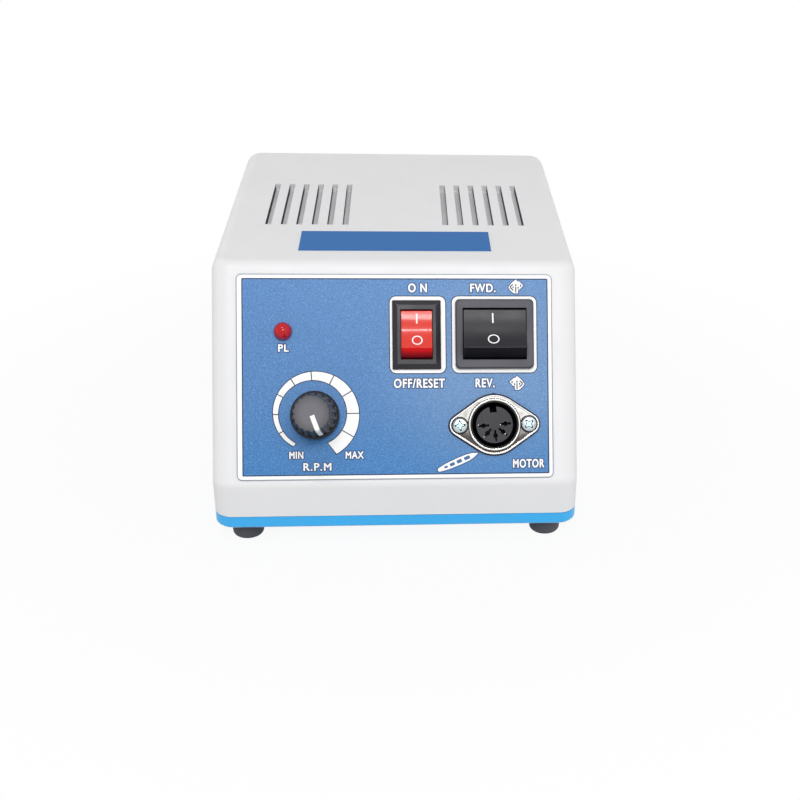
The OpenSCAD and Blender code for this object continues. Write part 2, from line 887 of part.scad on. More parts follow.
module contact_base() {
    color("black") difference() {
        at_socket(socket_low) cylinder(r = bore_r - seat, h = groove_n - socket_low);
        at_contacts(socket_low - over) cylinder(r = contact_r + seat, h = groove_n - socket_low + 2 * over);
    }
}

module contact_island() {
    color("dimgray") difference() {
        at_socket(groove_n) cylinder(r = island_r, h = island_top - groove_n);
        at_socket(groove_n - over) rotate(insert_turn) translate([-key_w / 2, island_r - key_d, 0])
            cube([key_w, key_d + over, groove_d + over]);
        at_contacts(groove_n - over) cylinder(r = contact_r + seat, h = groove_d);
        at_contacts(island_top - slit_d) {
            cylinder(r = pin_hole_r, h = slit_d + over);
            block([slit_l, slit_w, slit_d + over]);
        }
    }
}

module socket_contacts() {
    low = socket_low - contact_tail;
    color("gold") at_contacts(low) cylinder(r = contact_r, h = island_top - contact_sink - low);
}

module socket_screws() {
    screw_low = -wall - socket_nut_t - over;
    color("silver") {
        at_ears(flange_top) cylinder(r = socket_head_r, h = socket_head_h);
        at_ears(screw_low) cylinder(r = socket_screw_r, h = flange_top - screw_low);
    }
}

module socket_nuts() {
    color("silver") at_ears(-wall - seat - socket_nut_t) difference() {
        rotate(30) hex(socket_nut_flats, socket_nut_t);
        translate([0, 0, -over]) cylinder(r = socket_screw_r + seat, h = socket_nut_t + 2 * over);
    }
}

// Rear fittings
grommet_tail = 3;
grommet_taper = 1.6;
fuse_nut_flats = 17;
fuse_nut_t = 3;
fuse_plug_l = 6;
fuse_r = 2.5;
fuse_l = 20;
fuse_band = 5;
fuse_socket_l = 4;
fuse_back = 1.5;
jack_nut_flats = 13;
jack_nut_t = 2.2;
jack_neck_reach = 3.4;
jack_body = 14;
cap_slot_w = 1.4;
cap_slot_d = 1.2;
cap_flutes = 12;
cap_flute_r = 0.7;
cap_flute_out = 0.2;

module cord_grommet() {
    lip_r = grommet_flange_r - grommet_taper;
    color("black") on_back(grommet_x, grommet_z) rotate_extrude() polygon([
        [cord_r, -wall - grommet_tail],
        [lip_r, -wall - grommet_tail],
        [grommet_flange_r, -wall],
        [grommet_r, -wall],
        [grommet_r, 0],
        [grommet_flange_r, 0],
        [grommet_flange_r, grommet_reach - grommet_taper],
        [lip_r, grommet_reach],
        [cord_r, grommet_reach]
    ]);
}

module fuse_holder() {
    color("black") on_back(fuse_x, fuse_z) difference() {
        union() {
            translate([0, 0, -fuse_barrel_l]) cylinder(r = fuse_barrel_r, h = fuse_barrel_l);
            cylinder(r = fuse_flange_r, h = fuse_flange_t);
        }
        translate([0, 0, fuse_back - fuse_barrel_l])
            cylinder(r = fuse_plug_r + slip, h = fuse_barrel_l + over);
    }
}

module fuse_holder_nut() {
    color("black") on_back(fuse_x, fuse_z) translate([0, 0, -wall - fuse_nut_t]) difference() {
        hex(fuse_nut_flats, fuse_nut_t);
        translate([0, 0, -over]) cylinder(r = fuse_barrel_r + seat, h = fuse_nut_t + 2 * over);
    }
}

module fuse_cap() {
    grip_n = fuse_flange_t + open_gap;
    cap_top = grip_n + fuse_cap_h;
    color("black") on_back(fuse_x, fuse_z) difference() {
        union() {
            translate([0, 0, -fuse_plug_l]) cylinder(r = fuse_plug_r, h = fuse_plug_l + grip_n);
            translate([0, 0, grip_n]) cylinder(r = fuse_cap_r, h = fuse_cap_h);
        }
        translate([0, 0, -fuse_plug_l - over]) cylinder(r = fuse_r + 2 * seat, h = fuse_socket_l + over);
        translate([0, 0, cap_top - cap_slot_d]) block([2 * fuse_cap_r + over, cap_slot_w, cap_slot_d + over]);
        for (i = [0:cap_flutes - 1])
            rotate(i * 360 / cap_flutes) translate([fuse_cap_r + cap_flute_out, 0, grip_n + over])
                cylinder(r = cap_flute_r, h = fuse_cap_h, $fn = 24);
    }
}

module at_fuse(down) {
    on_back(fuse_x, fuse_z) translate([0, 0, fuse_socket_l - fuse_plug_l - down]) children();
}

module fuse_glass() {
    color("lightcyan") at_fuse(fuse_l - fuse_band)
        cylinder(r = fuse_r - 2 * seat, h = fuse_l - 2 * fuse_band);
}

module fuse_end_caps() {
    color("silver") {
        at_fuse(fuse_band) cylinder(r = fuse_r, h = fuse_band);
        at_fuse(fuse_l) cylinder(r = fuse_r, h = fuse_band);
    }
}

module fuse_terminals() {
    color("goldenrod") on_back(fuse_x, fuse_z)
        for (sx = [-1, 1])
            translate([sx * fuse_barrel_r / 2, 0, 0])
                block([blade_t, blade_w, blade_l], -fuse_barrel_l - blade_l);
}

module pedal_jack() {
    color("dimgray") on_back(jack_x, jack_z) difference() {
        union() {
            translate([0, 0, -wall]) cylinder(r = jack_neck_r, h = wall + jack_neck_reach);
            block([jack_body, jack_body, jack_d], -wall - jack_d);
        }
        translate([0, 0, jack_neck_reach - jack_d]) cylinder(r = jack_r, h = jack_d + over);
    }
}

module pedal_jack_nut() {
    color("silver") on_back(jack_x, jack_z) difference() {
        hex(jack_nut_flats, jack_nut_t);
        translate([0, 0, -over]) cylinder(r = jack_neck_r + seat, h = jack_nut_t + 2 * over);
    }
}

// Transformer on a pad moulded on the tray floor
core_pad = 3;
core_screw_r = 1.5;
core_head_r = 2.8;
core_head_h = 1.8;
strap_t = 1;
strap_w = 16;
strap_foot = 9;
core_yoke = core_leg / 2;
core_low = floor_z + core_pad;
bobbin_t = 1;
window_w = (core_w - core_leg) / 2 - core_yoke;
window_h = core_h - 2 * core_yoke;
coil_reach = window_w - 2 * seat;
core_x = wall + coil_side + core_t / 2 + coil_reach - case_w / 2;
core_y = case_d - core_back;

module at_core() {
    in_case(core_x, core_y, core_low) children();
}

module at_core_feet() {
    for (sy = [-1, 1]) in_case(core_x, core_y + sy * (core_w / 2 + strap_t + strap_foot / 2), 0) children();
}

module transformer_core() {
    color("slategray") at_core() difference() {
        block([core_t, core_w, core_h]);
        for (sy = [-1, 1])
            translate([0, sy * (core_leg + window_w) / 2, core_yoke])
                block([core_t + over, window_w, window_h]);
    }
}

module coil_ring(inner, outer, low, h) {
    difference() {
        block([core_t + 2 * outer, core_leg + 2 * outer, h], low);
        block([core_t + 2 * inner, core_leg + 2 * inner, h + 2 * over], low - over);
    }
}

module transformer_bobbin() {
    low = core_yoke + seat;
    h = window_h - 2 * seat;
    color("ivory") at_core() {
        coil_ring(seat, bobbin_t, low, h);
        coil_ring(seat, coil_reach, low, bobbin_t);
        coil_ring(seat, coil_reach, low + h - bobbin_t, bobbin_t);
    }
}

module transformer_winding() {
    low = core_yoke + bobbin_t + 2 * seat;
    color("chocolate") at_core()
        coil_ring(bobbin_t + seat, coil_reach - bobbin_t / 2, low, window_h - 2 * bobbin_t - 4 * seat);
}

module transformer_bracket() {
    span = core_w + 2 * seat;
    color("silver") difference() {
        at_core() {
            block([strap_w, span + 2 * strap_t, strap_t], core_h + seat);
            for (sy = [-1, 1]) {
                translate([0, sy * (span + strap_t) / 2, 0])
                    block([strap_w, strap_t, core_h + seat + strap_t]);
                translate([0, sy * (span + strap_foot) / 2, 0])
                    block([strap_w, strap_foot, strap_t]);
            }
        }
        at_core_feet() translate([0, 0, floor_z])
            cylinder(r = core_screw_r + cut_gap, h = core_pad + strap_t + over);
    }
}

module transformer_screws() {
    color("silver") at_core_feet() {
        translate([0, 0, floor_z]) cylinder(r = core_screw_r, h = core_pad + strap_t);
        translate([0, 0, core_low + strap_t]) cylinder(r = core_head_r, h = core_head_h);
    }
}

// Circuit board on standoffs, with what it carries
standoff_r = 3;
board_screw_r = 1.25;
board_head_r = 2.4;
board_head_h = 1.5;
board_t = 1.6;
board_edge = 4;
part_in = 4;
part_gap = 2;
board_low = floor_z + board_lift;
board_top = board_low + board_t;
board_x = case_w / 2 - wall - board_side - board_w / 2;
board_y = case_d - board_back - board_l;
first_row = board_edge + board_head_r + part_gap / 2;

// Sizes of the parts on the board
header_w = 15;
header_d = 6;
header_h = 9;
header_wall = 0.8;
header_floor = 2;
can_r = 8;
can_h = 25;
can_bead = 0.6;
can_foot = 2;
bridge_w = 22;
bridge_d = 4;
bridge_h = 16;
bridge_lift = 2;
bridge_notch = 3;
bridge_lead_w = 1;
bridge_lead_t = 0.6;
bridge_pitch = 5;
sink_w = 30;
sink_h = 26;
sink_plate = 3;
sink_clear = 17;
fin_count = 6;
fin_t = 1.4;
fin_l = 10;
chip_w = 10;
chip_d = 3.2;
chip_h = 9;
chip_lift = 5;
chip_tab_t = 1.3;
chip_tab_h = 16;
chip_lead = 0.8;
chip_pitch = 2.5;
relay_w = 15.5;
relay_d = 19;
relay_h = 15;

// Rows of the parts, from the board's front edge
bridge_row = first_row + header_d + part_gap + bridge_d / 2;
can_row = first_row + header_d + part_gap + can_r;
sink_row = bridge_row + sink_clear;
relay_row = board_l - first_row - relay_d / 2;

module at_board_corners() {
    for (sx = [-1, 1], y = [board_edge, board_l - board_edge])
        in_case(board_x + sx * (board_w / 2 - board_edge), board_y + y, 0) children();
}

module on_board(x, y) {
    in_case(board_x + x, board_y + y, board_top) children();
}

module control_board() {
    color("darkgreen") difference() {
        in_case(board_x, board_y + board_l / 2, board_low) block([board_w, board_l, board_t]);
        at_board_corners() translate([0, 0, board_low - over])
            cylinder(r = board_screw_r + cut_gap, h = board_t + 2 * over);
    }
}

module board_screws() {
    color("silver") at_board_corners() {
        translate([0, 0, floor_z]) cylinder(r = board_screw_r, h = board_top - floor_z);
        translate([0, 0, board_top]) cylinder(r = board_head_r, h = board_head_h);
    }
}

// A part of a given width by the board's left (-1) or right (1) edge
module by_edge(side, w, y) {
    on_board(side * (board_w / 2 - part_in - w / 2), y) children();
}

module filter_capacitor() {
    color("midnightblue") by_edge(1, 2 * can_r, can_row) rotate_extrude() polygon([
        [0, 0],
        [can_r, 0],
        [can_r, can_foot],
        [can_r - can_bead, can_foot + can_bead],
        [can_r, can_foot + 2 * can_bead],
        [can_r, can_h - can_bead],
        [can_r - can_bead, can_h],
        [0, can_h]
    ]);
}

module bridge_rectifier() {
    color("black") by_edge(-1, bridge_w, bridge_row) difference() {
        block([bridge_w, bridge_d, bridge_h], bridge_lift);
        translate([-bridge_w / 2, 0, bridge_lift + bridge_h]) rotate([90, 45, 0])
            cylinder(r = bridge_notch, h = bridge_d + over, center = true, $fn = 4);
    }
    color("silver") by_edge(-1, bridge_w, bridge_row)
        for (i = [-1.5:1.5])
            translate([i * bridge_pitch, 0, 0]) block([bridge_lead_w, bridge_lead_t, bridge_lift]);
}

module heat_sink() {
    color("dimgray") by_edge(-1, sink_w, sink_row) {
        block([sink_w, sink_plate, sink_h]);
        for (i = [0:fin_count - 1])
            translate([(i / (fin_count - 1) - 0.5) * (sink_w - fin_t), (sink_plate + fin_l) / 2, 0])
                block([fin_t, fin_l, sink_h]);
    }
}

module power_transistor() {
    color("black") by_edge(-1, sink_w, sink_row - sink_plate / 2) {
        translate([0, -chip_tab_t / 2, 0]) block([chip_w, chip_tab_t, chip_tab_h], chip_lift);
        translate([0, -chip_tab_t - chip_d / 2, 0]) block([chip_w, chip_d, chip_h], chip_lift);
        for (i = [-1:1])
            translate([i * chip_pitch, -chip_tab_t - chip_d / 2, 0]) block([chip_lead, chip_lead, chip_lift]);
    }
}

module board_relay() {
    color("royalblue") by_edge(1, relay_w, relay_row) block([relay_w, relay_d, relay_h]);
}

module header_form() {
    inner = [header_w - 2 * header_wall, header_d - 2 * header_wall, header_h];
    difference() {
        block([header_w, header_d, header_h]);
        block(inner, header_floor);
    }
}

module board_headers() {
    front_row = first_row + header_d / 2;
    color("white") {
        by_edge(-1, header_w, front_row) header_form();
        by_edge(1, header_w, front_row) header_form();
        by_edge(-1, header_w, board_l - front_row) header_form();
    }
}

upper_cover();
base_tray();
rubber_feet();
case_screws();
dust_screens();
top_label();
front_overlay();
speed_knob();
knob_pointer();
pot_shaft();
pot_wiper();
pot_bush();
pot_case();
pot_washer();
pot_nut();
pot_terminals();
power_switch_body();
power_rocker();
power_switch_terminals();
direction_switch_body();
direction_rocker();
direction_switch_terminals();
mode_switch_body();
mode_rocker();
mode_switch_terminals();
pilot_lamp();
lamp_clip();
lamp_leads();
socket_shell();
socket_insulator();
contact_base();
contact_island();
socket_contacts();
socket_screws();
socket_nuts();
cord_grommet();
fuse_holder();
fuse_holder_nut();
fuse_cap();
fuse_glass();
fuse_end_caps();
fuse_terminals();
pedal_jack();
pedal_jack_nut();
transformer_core();
transformer_bobbin();
transformer_winding();
transformer_bracket();
transformer_screws();
control_board();
board_screws();
filter_capacitor();
bridge_rectifier();
heat_sink();
power_transistor();
board_relay();
board_headers();
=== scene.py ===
import json
import math

import bmesh
import bpy
from mathutils import Matrix, Vector
from mathutils.bvhtree import BVHTree
from mathutils.geometry import convex_hull_2d


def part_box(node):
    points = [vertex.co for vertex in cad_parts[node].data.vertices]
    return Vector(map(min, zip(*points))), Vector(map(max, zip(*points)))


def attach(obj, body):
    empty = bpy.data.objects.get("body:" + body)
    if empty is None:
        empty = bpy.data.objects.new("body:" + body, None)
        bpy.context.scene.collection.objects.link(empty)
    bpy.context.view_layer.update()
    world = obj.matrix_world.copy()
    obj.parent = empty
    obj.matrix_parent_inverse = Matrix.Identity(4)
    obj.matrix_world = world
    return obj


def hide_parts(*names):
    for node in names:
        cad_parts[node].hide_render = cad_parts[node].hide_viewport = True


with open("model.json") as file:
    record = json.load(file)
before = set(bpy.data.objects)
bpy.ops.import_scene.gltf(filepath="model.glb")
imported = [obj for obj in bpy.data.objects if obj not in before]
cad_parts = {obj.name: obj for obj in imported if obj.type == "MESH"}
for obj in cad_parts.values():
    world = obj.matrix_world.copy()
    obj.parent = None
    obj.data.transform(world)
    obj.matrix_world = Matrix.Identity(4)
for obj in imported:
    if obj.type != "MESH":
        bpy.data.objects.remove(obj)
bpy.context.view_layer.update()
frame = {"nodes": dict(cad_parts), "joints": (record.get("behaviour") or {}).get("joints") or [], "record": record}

# Sizes below are millimetres and turns are degrees, and MM turns millimetres into the scene's metres
MM = 0.001
WELD = 0.002 * MM
TINY = 1e-6
FLAT_ANGLE = math.radians(0.2)
SHARP_ANGLE = math.radians(32)
CIRCLE_STEPS = 48

nodes = frame["nodes"]
joints = {joint["name"]: joint for joint in frame["joints"]}
slot_of = {part["node"]: part["material_slot"] for part in frame["record"]["subparts"]}
bodies = frame["record"]["behaviour"]["bodies"]
body_of = {node: body for body, members in bodies.items() for node in members}

# Front face: axes from the knob's joint; middle, height and thickness from the overlay's box
face_out = Vector(joints["speed_turn"]["axis"]).normalized()
face_right = Vector((1, 0, 0))
face_up = face_out.cross(face_right)
overlay_low, overlay_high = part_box("front_overlay")
overlay_span = overlay_high - overlay_low
lean_cos, lean_sin = face_up.z, face_up.y
lean_share = lean_cos ** 2 - lean_sin ** 2
overlay_w = overlay_span.x / MM
overlay_h = (overlay_span.z * lean_cos - overlay_span.y * lean_sin) / lean_share / MM
overlay_t = (overlay_span.y * lean_cos - overlay_span.z * lean_sin) / lean_share
face_middle = (overlay_low + overlay_high) / 2 + face_out * overlay_t / 2
FACE = Matrix.Translation(face_middle) @ Matrix((face_right, face_up, face_out)).transposed().to_4x4()
TO_FACE = FACE.inverted()

# Rear selector: it looks along +Y from its pivot
LOOK_BACK = Matrix(((-1, 0, 0), (0, 0, 1), (0, 1, 0))).to_4x4()
MODE_FACE = Matrix.Translation(joints["mode_rock"]["pos_m"]) @ LOOK_BACK


def face_place(point):
    """Millimetres to the right of the overlay's middle and up its slope."""
    local = TO_FACE @ Vector(point)
    return Vector((local.x / MM, local.y / MM))


def face_box(node, keep=lambda point: True):
    """Corners of a node's box on the front face's own axes, in metres."""
    points = [TO_FACE @ vert.co for vert in nodes[node].data.vertices]
    points = [point for point in points if keep(point)]
    low = Vector([min(point[axis] for point in points) for axis in range(3)])
    high = Vector([max(point[axis] for point in points) for axis in range(3)])
    return low, high


def middle_of(low, high):
    """Middle of a box on the front face, in millimetres."""
    return Vector(((low.x + high.x) / 2 / MM, (low.y + high.y) / 2 / MM))


def top_of(node):
    """Height of a node's top above the overlay, in metres."""
    return face_box(node)[1].z


def face_point(at, height):
    """The scene's point over a place on the front face."""
    return FACE @ Vector((at.x * MM, at.y * MM, height))


knob_at = face_place(joints["speed_turn"]["pos_m"])
knob_top = top_of("speed_knob")
power_at = face_place(joints["power_rock"]["pos_m"])
turn_at = face_place(joints["direction_rock"]["pos_m"])
lamp_at = middle_of(*face_box("pilot_lamp"))
socket_at = middle_of(*face_box("socket_shell"))

# Node groups shared by the finishes
COLOUR = "NodeSocketColor"
NUMBER = "NodeSocketFloat"
PLACE = "NodeSocketVector"
# How far the edge of a fade up the slope wanders
FADE_CLOUD = 6


def new_group(name, inputs, outputs):
    """An empty shader group with its sockets; returns the tree, what it is given and its output."""
    tree = bpy.data.node_groups.new(name, "ShaderNodeTree")
    for side, sockets in (("INPUT", inputs), ("OUTPUT", outputs)):
        for label, kind in sockets.items():
            tree.interface.new_socket(name=label, in_out=side, socket_type=kind)
    given = tree.nodes.new("NodeGroupInput").outputs
    return tree, given, tree.nodes.new("NodeGroupOutput")


def feed(tree, value, socket):
    """Links another node's output to an input, or sets the input to a plain value."""
    if isinstance(value, bpy.types.NodeSocket):
        tree.links.new(value, socket)
    else:
        socket.default_value = value


def feed_all(tree, node, values):
    for label, value in values.items():
        feed(tree, value, node.inputs[label])


def feed_in_order(tree, node, values):
    for socket, value in zip(node.inputs, values):
        feed(tree, value, socket)


def add(tree, kind, **values):
    """A node with its properties set and its inputs fed."""
    node = tree.nodes.new(kind)
    for key, value in values.items():
        if key in node.inputs:
            feed(tree, value, node.inputs[key])
        else:
            setattr(node, key, value)
    return node


def add_math(tree, operation, first, second):
    node = add(tree, "ShaderNodeMath", operation=operation)
    feed_in_order(tree, node, (first, second))
    return node.outputs[0]


def add_vector(tree, operation, first, second=(0, 0, 0)):
    """A number worked out from two vectors, or from the first alone."""
    node = add(tree, "ShaderNodeVectorMath", operation=operation)
    feed_in_order(tree, node, (first, second))
    return node.outputs["Value"]


def add_mix(tree, factor, first, second, blend="MIX"):
    node = add(tree, "ShaderNodeMix", data_type="RGBA", blend_type=blend)
    feed_all(tree, node, {"Factor": factor, "A": first, "B": second})
    return node.outputs["Result"]


def add_range(tree, value, old, new):
    """Turns one range of values smoothly into another."""
    node = add(tree, "ShaderNodeMapRange", interpolation_type="SMOOTHSTEP")
    feed_all(tree, node, {"Value": value, "From Min": old[0], "From Max": old[1],
                          "To Min": new[0], "To Max": new[1]})
    return node.outputs["Result"]


def object_place(tree):
    return tree.nodes.new("ShaderNodeTexCoord").outputs["Object"]


def add_noise(tree, scale, detail, stretch=(1, 1, 1)):
    """Noise on the piece's own Object coordinates; stretch draws it out along an axis."""
    mapping = add(tree, "ShaderNodeMapping", Vector=object_place(tree), Scale=stretch)
    spots = mapping.outputs["Vector"]
    return add(tree, "ShaderNodeTexNoise", Vector=spots, Scale=scale, Detail=detail).outputs["Fac"]


def mould_texture_group():
    """Fine tool texture of a moulding, with faint cloudy flow marks and handled patches."""
    tree, given, out = new_group(
        "mould texture",
        {"Colour": COLOUR, "Flow colour": COLOUR, "Grain scale": NUMBER, "Gloss low": NUMBER,
         "Gloss high": NUMBER},
        {"Colour": COLOUR, "Roughness": NUMBER, "Height": NUMBER})
    flow = add_range(tree, add_noise(tree, scale=38, detail=3), (0.35, 0.7), (0, 1))
    colour = add_mix(tree, flow, given["Colour"], given["Flow colour"])
    patches = add_noise(tree, scale=85, detail=4)
    gloss = add_range(tree, patches, (0.35, 0.65), (given["Gloss low"], given["Gloss high"]))
    grain = add_noise(tree, given["Grain scale"], detail=2)
    feed_all(tree, out, {"Colour": colour, "Roughness": gloss, "Height": grain})
    return tree


def speckle_group():
    """Flecks of a screen-printed film: light and dark dots over an even ink."""
    tree, given, out = new_group(
        "ink speckle",
        {"Ink": COLOUR, "Light fleck": COLOUR, "Dark fleck": COLOUR, "Fleck scale": NUMBER},
        {"Colour": COLOUR, "Height": NUMBER})
    fine = add_noise(tree, given["Fleck scale"], detail=3)
    light = add_range(tree, fine, (0.5, 0.72), (0, 1))
    dark = add_range(tree, fine, (0.5, 0.3), (0, 1))
    lit = add_mix(tree, light, given["Ink"], given["Light fleck"])
    both = add_mix(tree, dark, lit, given["Dark fleck"])
    feed_all(tree, out, {"Colour": both, "Height": fine})
    return tree


def plating_group():
    """Plated sheet metal: rolled streaks and cloudy tarnish."""
    tree, given, out = new_group(
        "plated metal",
        {"Metal": COLOUR, "Tarnish": COLOUR, "Gloss low": NUMBER, "Gloss high": NUMBER},
        {"Colour": COLOUR, "Roughness": NUMBER, "Height": NUMBER})
    clouds = add_noise(tree, scale=260, detail=4)
    tarnish = add_range(tree, clouds, (0.45, 0.75), (0, 1))
    colour = add_mix(tree, tarnish, given["Metal"], given["Tarnish"])
    gloss = add_range(tree, clouds, (0.3, 0.7), (given["Gloss low"], given["Gloss high"]))
    streaks = add_noise(tree, scale=900, detail=3, stretch=(0.12, 1, 1))
    feed_all(tree, out, {"Colour": colour, "Roughness": gloss, "Height": streaks})
    return tree


def slope_fade_group():
    """One below a height up the sloped front, zero above another, with a cloudy edge."""
    tree, given, out = new_group("slope fade", {"Low": NUMBER, "High": NUMBER}, {"Share": NUMBER})
    height = add_vector(tree, "DOT_PRODUCT", object_place(tree), face_up)
    clouds = add_math(tree, "SUBTRACT", add_noise(tree, scale=420, detail=3), 0.5)
    wander = add_math(tree, "MULTIPLY", clouds, FADE_CLOUD * MM)
    cloudy = add_math(tree, "ADD", height, wander)
    share = add_range(tree, cloudy, (given["Low"], given["High"]), (1, 0))
    feed_all(tree, out, {"Share": share})
    return tree


def round_fade_group():
    """Zero near a centre and one far from it."""
    tree, given, out = new_group("round fade", {"Centre": PLACE, "Near": NUMBER, "Far": NUMBER},
                                 {"Share": NUMBER})
    reach = add_vector(tree, "DISTANCE", object_place(tree), given["Centre"])
    share = add_range(tree, reach, (given["Near"], given["Far"]), (0, 1))
    feed_all(tree, out, {"Share": share})
    return tree


SLOPE_FADE = slope_fade_group()
ROUND_FADE = round_fade_group()
MOULD_TEXTURE = mould_texture_group()
INK_SPECKLE = speckle_group()
PLATED_METAL = plating_group()


# Finishes: colours, then the lowest and highest roughness, then how the texture differs from the usual
INK_GRAIN = 0.006
PLATE_GRAIN = 0.004


def rgba(colour):
    return (*colour, 1)


def shade(colour, factor):
    return tuple(min(channel * factor, 1) for channel in colour)


def new_finish(name, tree, values, links, depth, settings):
    """A Principled material fed by one shared group, with its grain as a bump of a given depth."""
    finish = bpy.data.materials.new(name)
    finish.use_nodes = True
    net = finish.node_tree
    shader = net.nodes["Principled BSDF"]
    texture = add(net, "ShaderNodeGroup", node_tree=tree, **values)
    bump = add(net, "ShaderNodeBump", Distance=depth * MM, Strength=1, Height=texture.outputs["Height"])
    feed_all(net, shader, settings)
    for label, target in links.items():
        net.links.new(texture.outputs[label], shader.inputs[target])
    net.links.new(bump.outputs["Normal"], shader.inputs["Normal"])
    return finish


def moulded(name, colour, gloss, flow=0.96, grain=2200, depth=0.012, shine=0.5, **settings):
    """Moulded plastic, rubber or card; flow shades the colour of its flow marks."""
    values = {"Colour": rgba(colour), "Flow colour": rgba(shade(colour, flow)), "Grain scale": grain,
              "Gloss low": gloss[0], "Gloss high": gloss[1]}
    links = {"Colour": "Base Color", "Roughness": "Roughness"}
    settings["Specular IOR Level"] = shine
    return new_finish(name, MOULD_TEXTURE, values, links, depth, settings)


def printed(name, colour, light, dark, roughness, fleck=1500, shine=0.5):
    """Screen-printed ink with light and dark flecks."""
    values = {"Ink": rgba(colour), "Light fleck": rgba(light), "Dark fleck": rgba(dark),
              "Fleck scale": fleck}
    settings = {"Roughness": roughness, "Specular IOR Level": shine}
    return new_finish(name, INK_SPECKLE, values, {"Colour": "Base Color"}, INK_GRAIN, settings)


def plated(name, metal, tarnish, gloss):
    """Plated or bare metal with some tarnish."""
    values = {"Metal": rgba(metal), "Tarnish": rgba(tarnish), "Gloss low": gloss[0],
              "Gloss high": gloss[1]}
    links = {"Colour": "Base Color", "Roughness": "Roughness"}
    return new_finish(name, PLATED_METAL, values, links, PLATE_GRAIN, {"Metallic": 1})


def fade(finish, other, tree, values, blend):
    """Mixes another colour into a finish by the share that a group gives."""
    net = finish.node_tree
    target = net.nodes["Principled BSDF"].inputs["Base Color"]
    share = add(net, "ShaderNodeGroup", node_tree=tree, **values).outputs["Share"]
    mixed = add_mix(net, share, target.links[0].from_socket, rgba(other), blend)
    net.links.new(mixed, target)


def fade_round(finish, other, centre, near, far, blend="MIX"):
    """Brings another colour in away from a centre, or towards it where near is the larger reach."""
    fade(finish, other, ROUND_FADE, {"Centre": centre, "Near": near * MM, "Far": far * MM}, blend)


def fade_down(finish, other, low, high, blend="MIX"):
    """Brings another colour in down the sloped front, between two heights over the overlay's middle."""
    heights = [face_point(Vector((0, up)), 0).dot(face_up) for up in (low, high)]
    fade(finish, other, SLOPE_FADE, {"Low": heights[0], "High": heights[1]}, blend)


cover_white = moulded("cover white", (0.80, 0.80, 0.81), (0.42, 0.52), flow=0.985, grain=3200,
                      depth=0.01)
tray_blue = moulded("tray blue", (0.035, 0.44, 0.90), (0.28, 0.36), flow=0.97, grain=1800,
                    depth=0.006)
foot_rubber = moulded("foot rubber", (0.055, 0.055, 0.065), (0.6, 0.75), flow=1.35, grain=1500,
                      depth=0.03)
screen_card = moulded("screen card", (0.78, 0.78, 0.80), (0.8, 0.9), flow=0.9, grain=2600,
                      depth=0.03)
# Painted shade on the long walls of the vent slots
vent_wall_shade = moulded("vent wall painted shade", (0.03, 0.03, 0.034), (0.5, 0.6), flow=1.2, shine=0.2)
fitting_black = moulded("fitting black", (0.02, 0.02, 0.023), (0.3, 0.42), flow=1.25)

# The knob's top face takes a paler grey than the knob as a painted sheen, and painted shade darkens it from its
# middle outwards
KNOB_TOP_SHADE = (2.4, 6.2)
knob_black = moulded("knob black", (0.012, 0.012, 0.016), (0.38, 0.5), flow=1.3, grain=2400,
                     shine=0.26)
knob_top_sheen = moulded("knob top painted sheen", (0.118, 0.116, 0.134), (0.5, 0.6), flow=1.15, grain=3000,
                    depth=0.02)
fade_round(knob_top_sheen, (0.045, 0.045, 0.054), face_point(knob_at, knob_top), *KNOB_TOP_SHADE)
mark_white = moulded("mark white", (0.88, 0.88, 0.88), (0.35, 0.45), flow=0.97, depth=0.006)
# The greyer white of the pointer's foot on the knob's side is painted shade
mark_side_shade = moulded("mark side painted shade", (0.76, 0.76, 0.77), (0.4, 0.5), flow=0.95, depth=0.006)

# The rockers' end walls take darker copies of their plastic as painted shade, and the red one's end wall darkens
# further into its well as painted shade: a far centre makes the round fade run nearly straight
END_SHADE_FAR = 40
END_SHADE = (END_SHADE_FAR + 5.0, END_SHADE_FAR + 7.9)
end_shade_middle = Vector(joints["power_rock"]["pos_m"]) + face_up * END_SHADE_FAR * MM
bezel_black = moulded("power bezel black", (0.020, 0.019, 0.024), (0.3, 0.4), flow=1.2, grain=3000,
                      shine=0.32)
bezel_satin = moulded("direction bezel satin", (0.064, 0.063, 0.077), (0.45, 0.55), flow=1.1,
                      grain=3400, depth=0.02, shine=0.4)
rocker_black = moulded("rocker black", (0.012, 0.012, 0.016), (0.3, 0.38), flow=1.2, grain=3400,
                       depth=0.01, shine=0.27)
black_rocker_end_shade = moulded("rocker black end painted shade", (0.004, 0.004, 0.006), (0.38, 0.46), flow=1.2,
                           grain=3400, depth=0.01, shine=0.1)
rocker_red = moulded("rocker red", (0.73, 0.038, 0.024), (0.16, 0.22), flow=0.95, grain=1600,
                     depth=0.004, shine=0.2, **{"Coat Weight": 0.4, "Coat Roughness": 0.08})
red_rocker_end_shade = moulded("rocker red end painted shade", (0.78, 0.012, 0.012), (0.3, 0.36), flow=0.95, grain=1600,
                         depth=0.004, shine=0.06)
fade_round(red_rocker_end_shade, (0.17, 0.005, 0.013), end_shade_middle, *END_SHADE)

# The lamp's rim is pinker than its dome
LAMP_FADE = (2.2, 2.7)
lamp_red = moulded("lamp red", (0.44, 0.003, 0.007), (0.1, 0.16), flow=1.2, grain=900, depth=0.0005,
                   shine=0.05, **{"Coat Weight": 0.6, "Coat Roughness": 0.02})
fade_round(lamp_red, (0.42, 0.012, 0.045), face_point(lamp_at, top_of("pilot_lamp")), *LAMP_FADE)
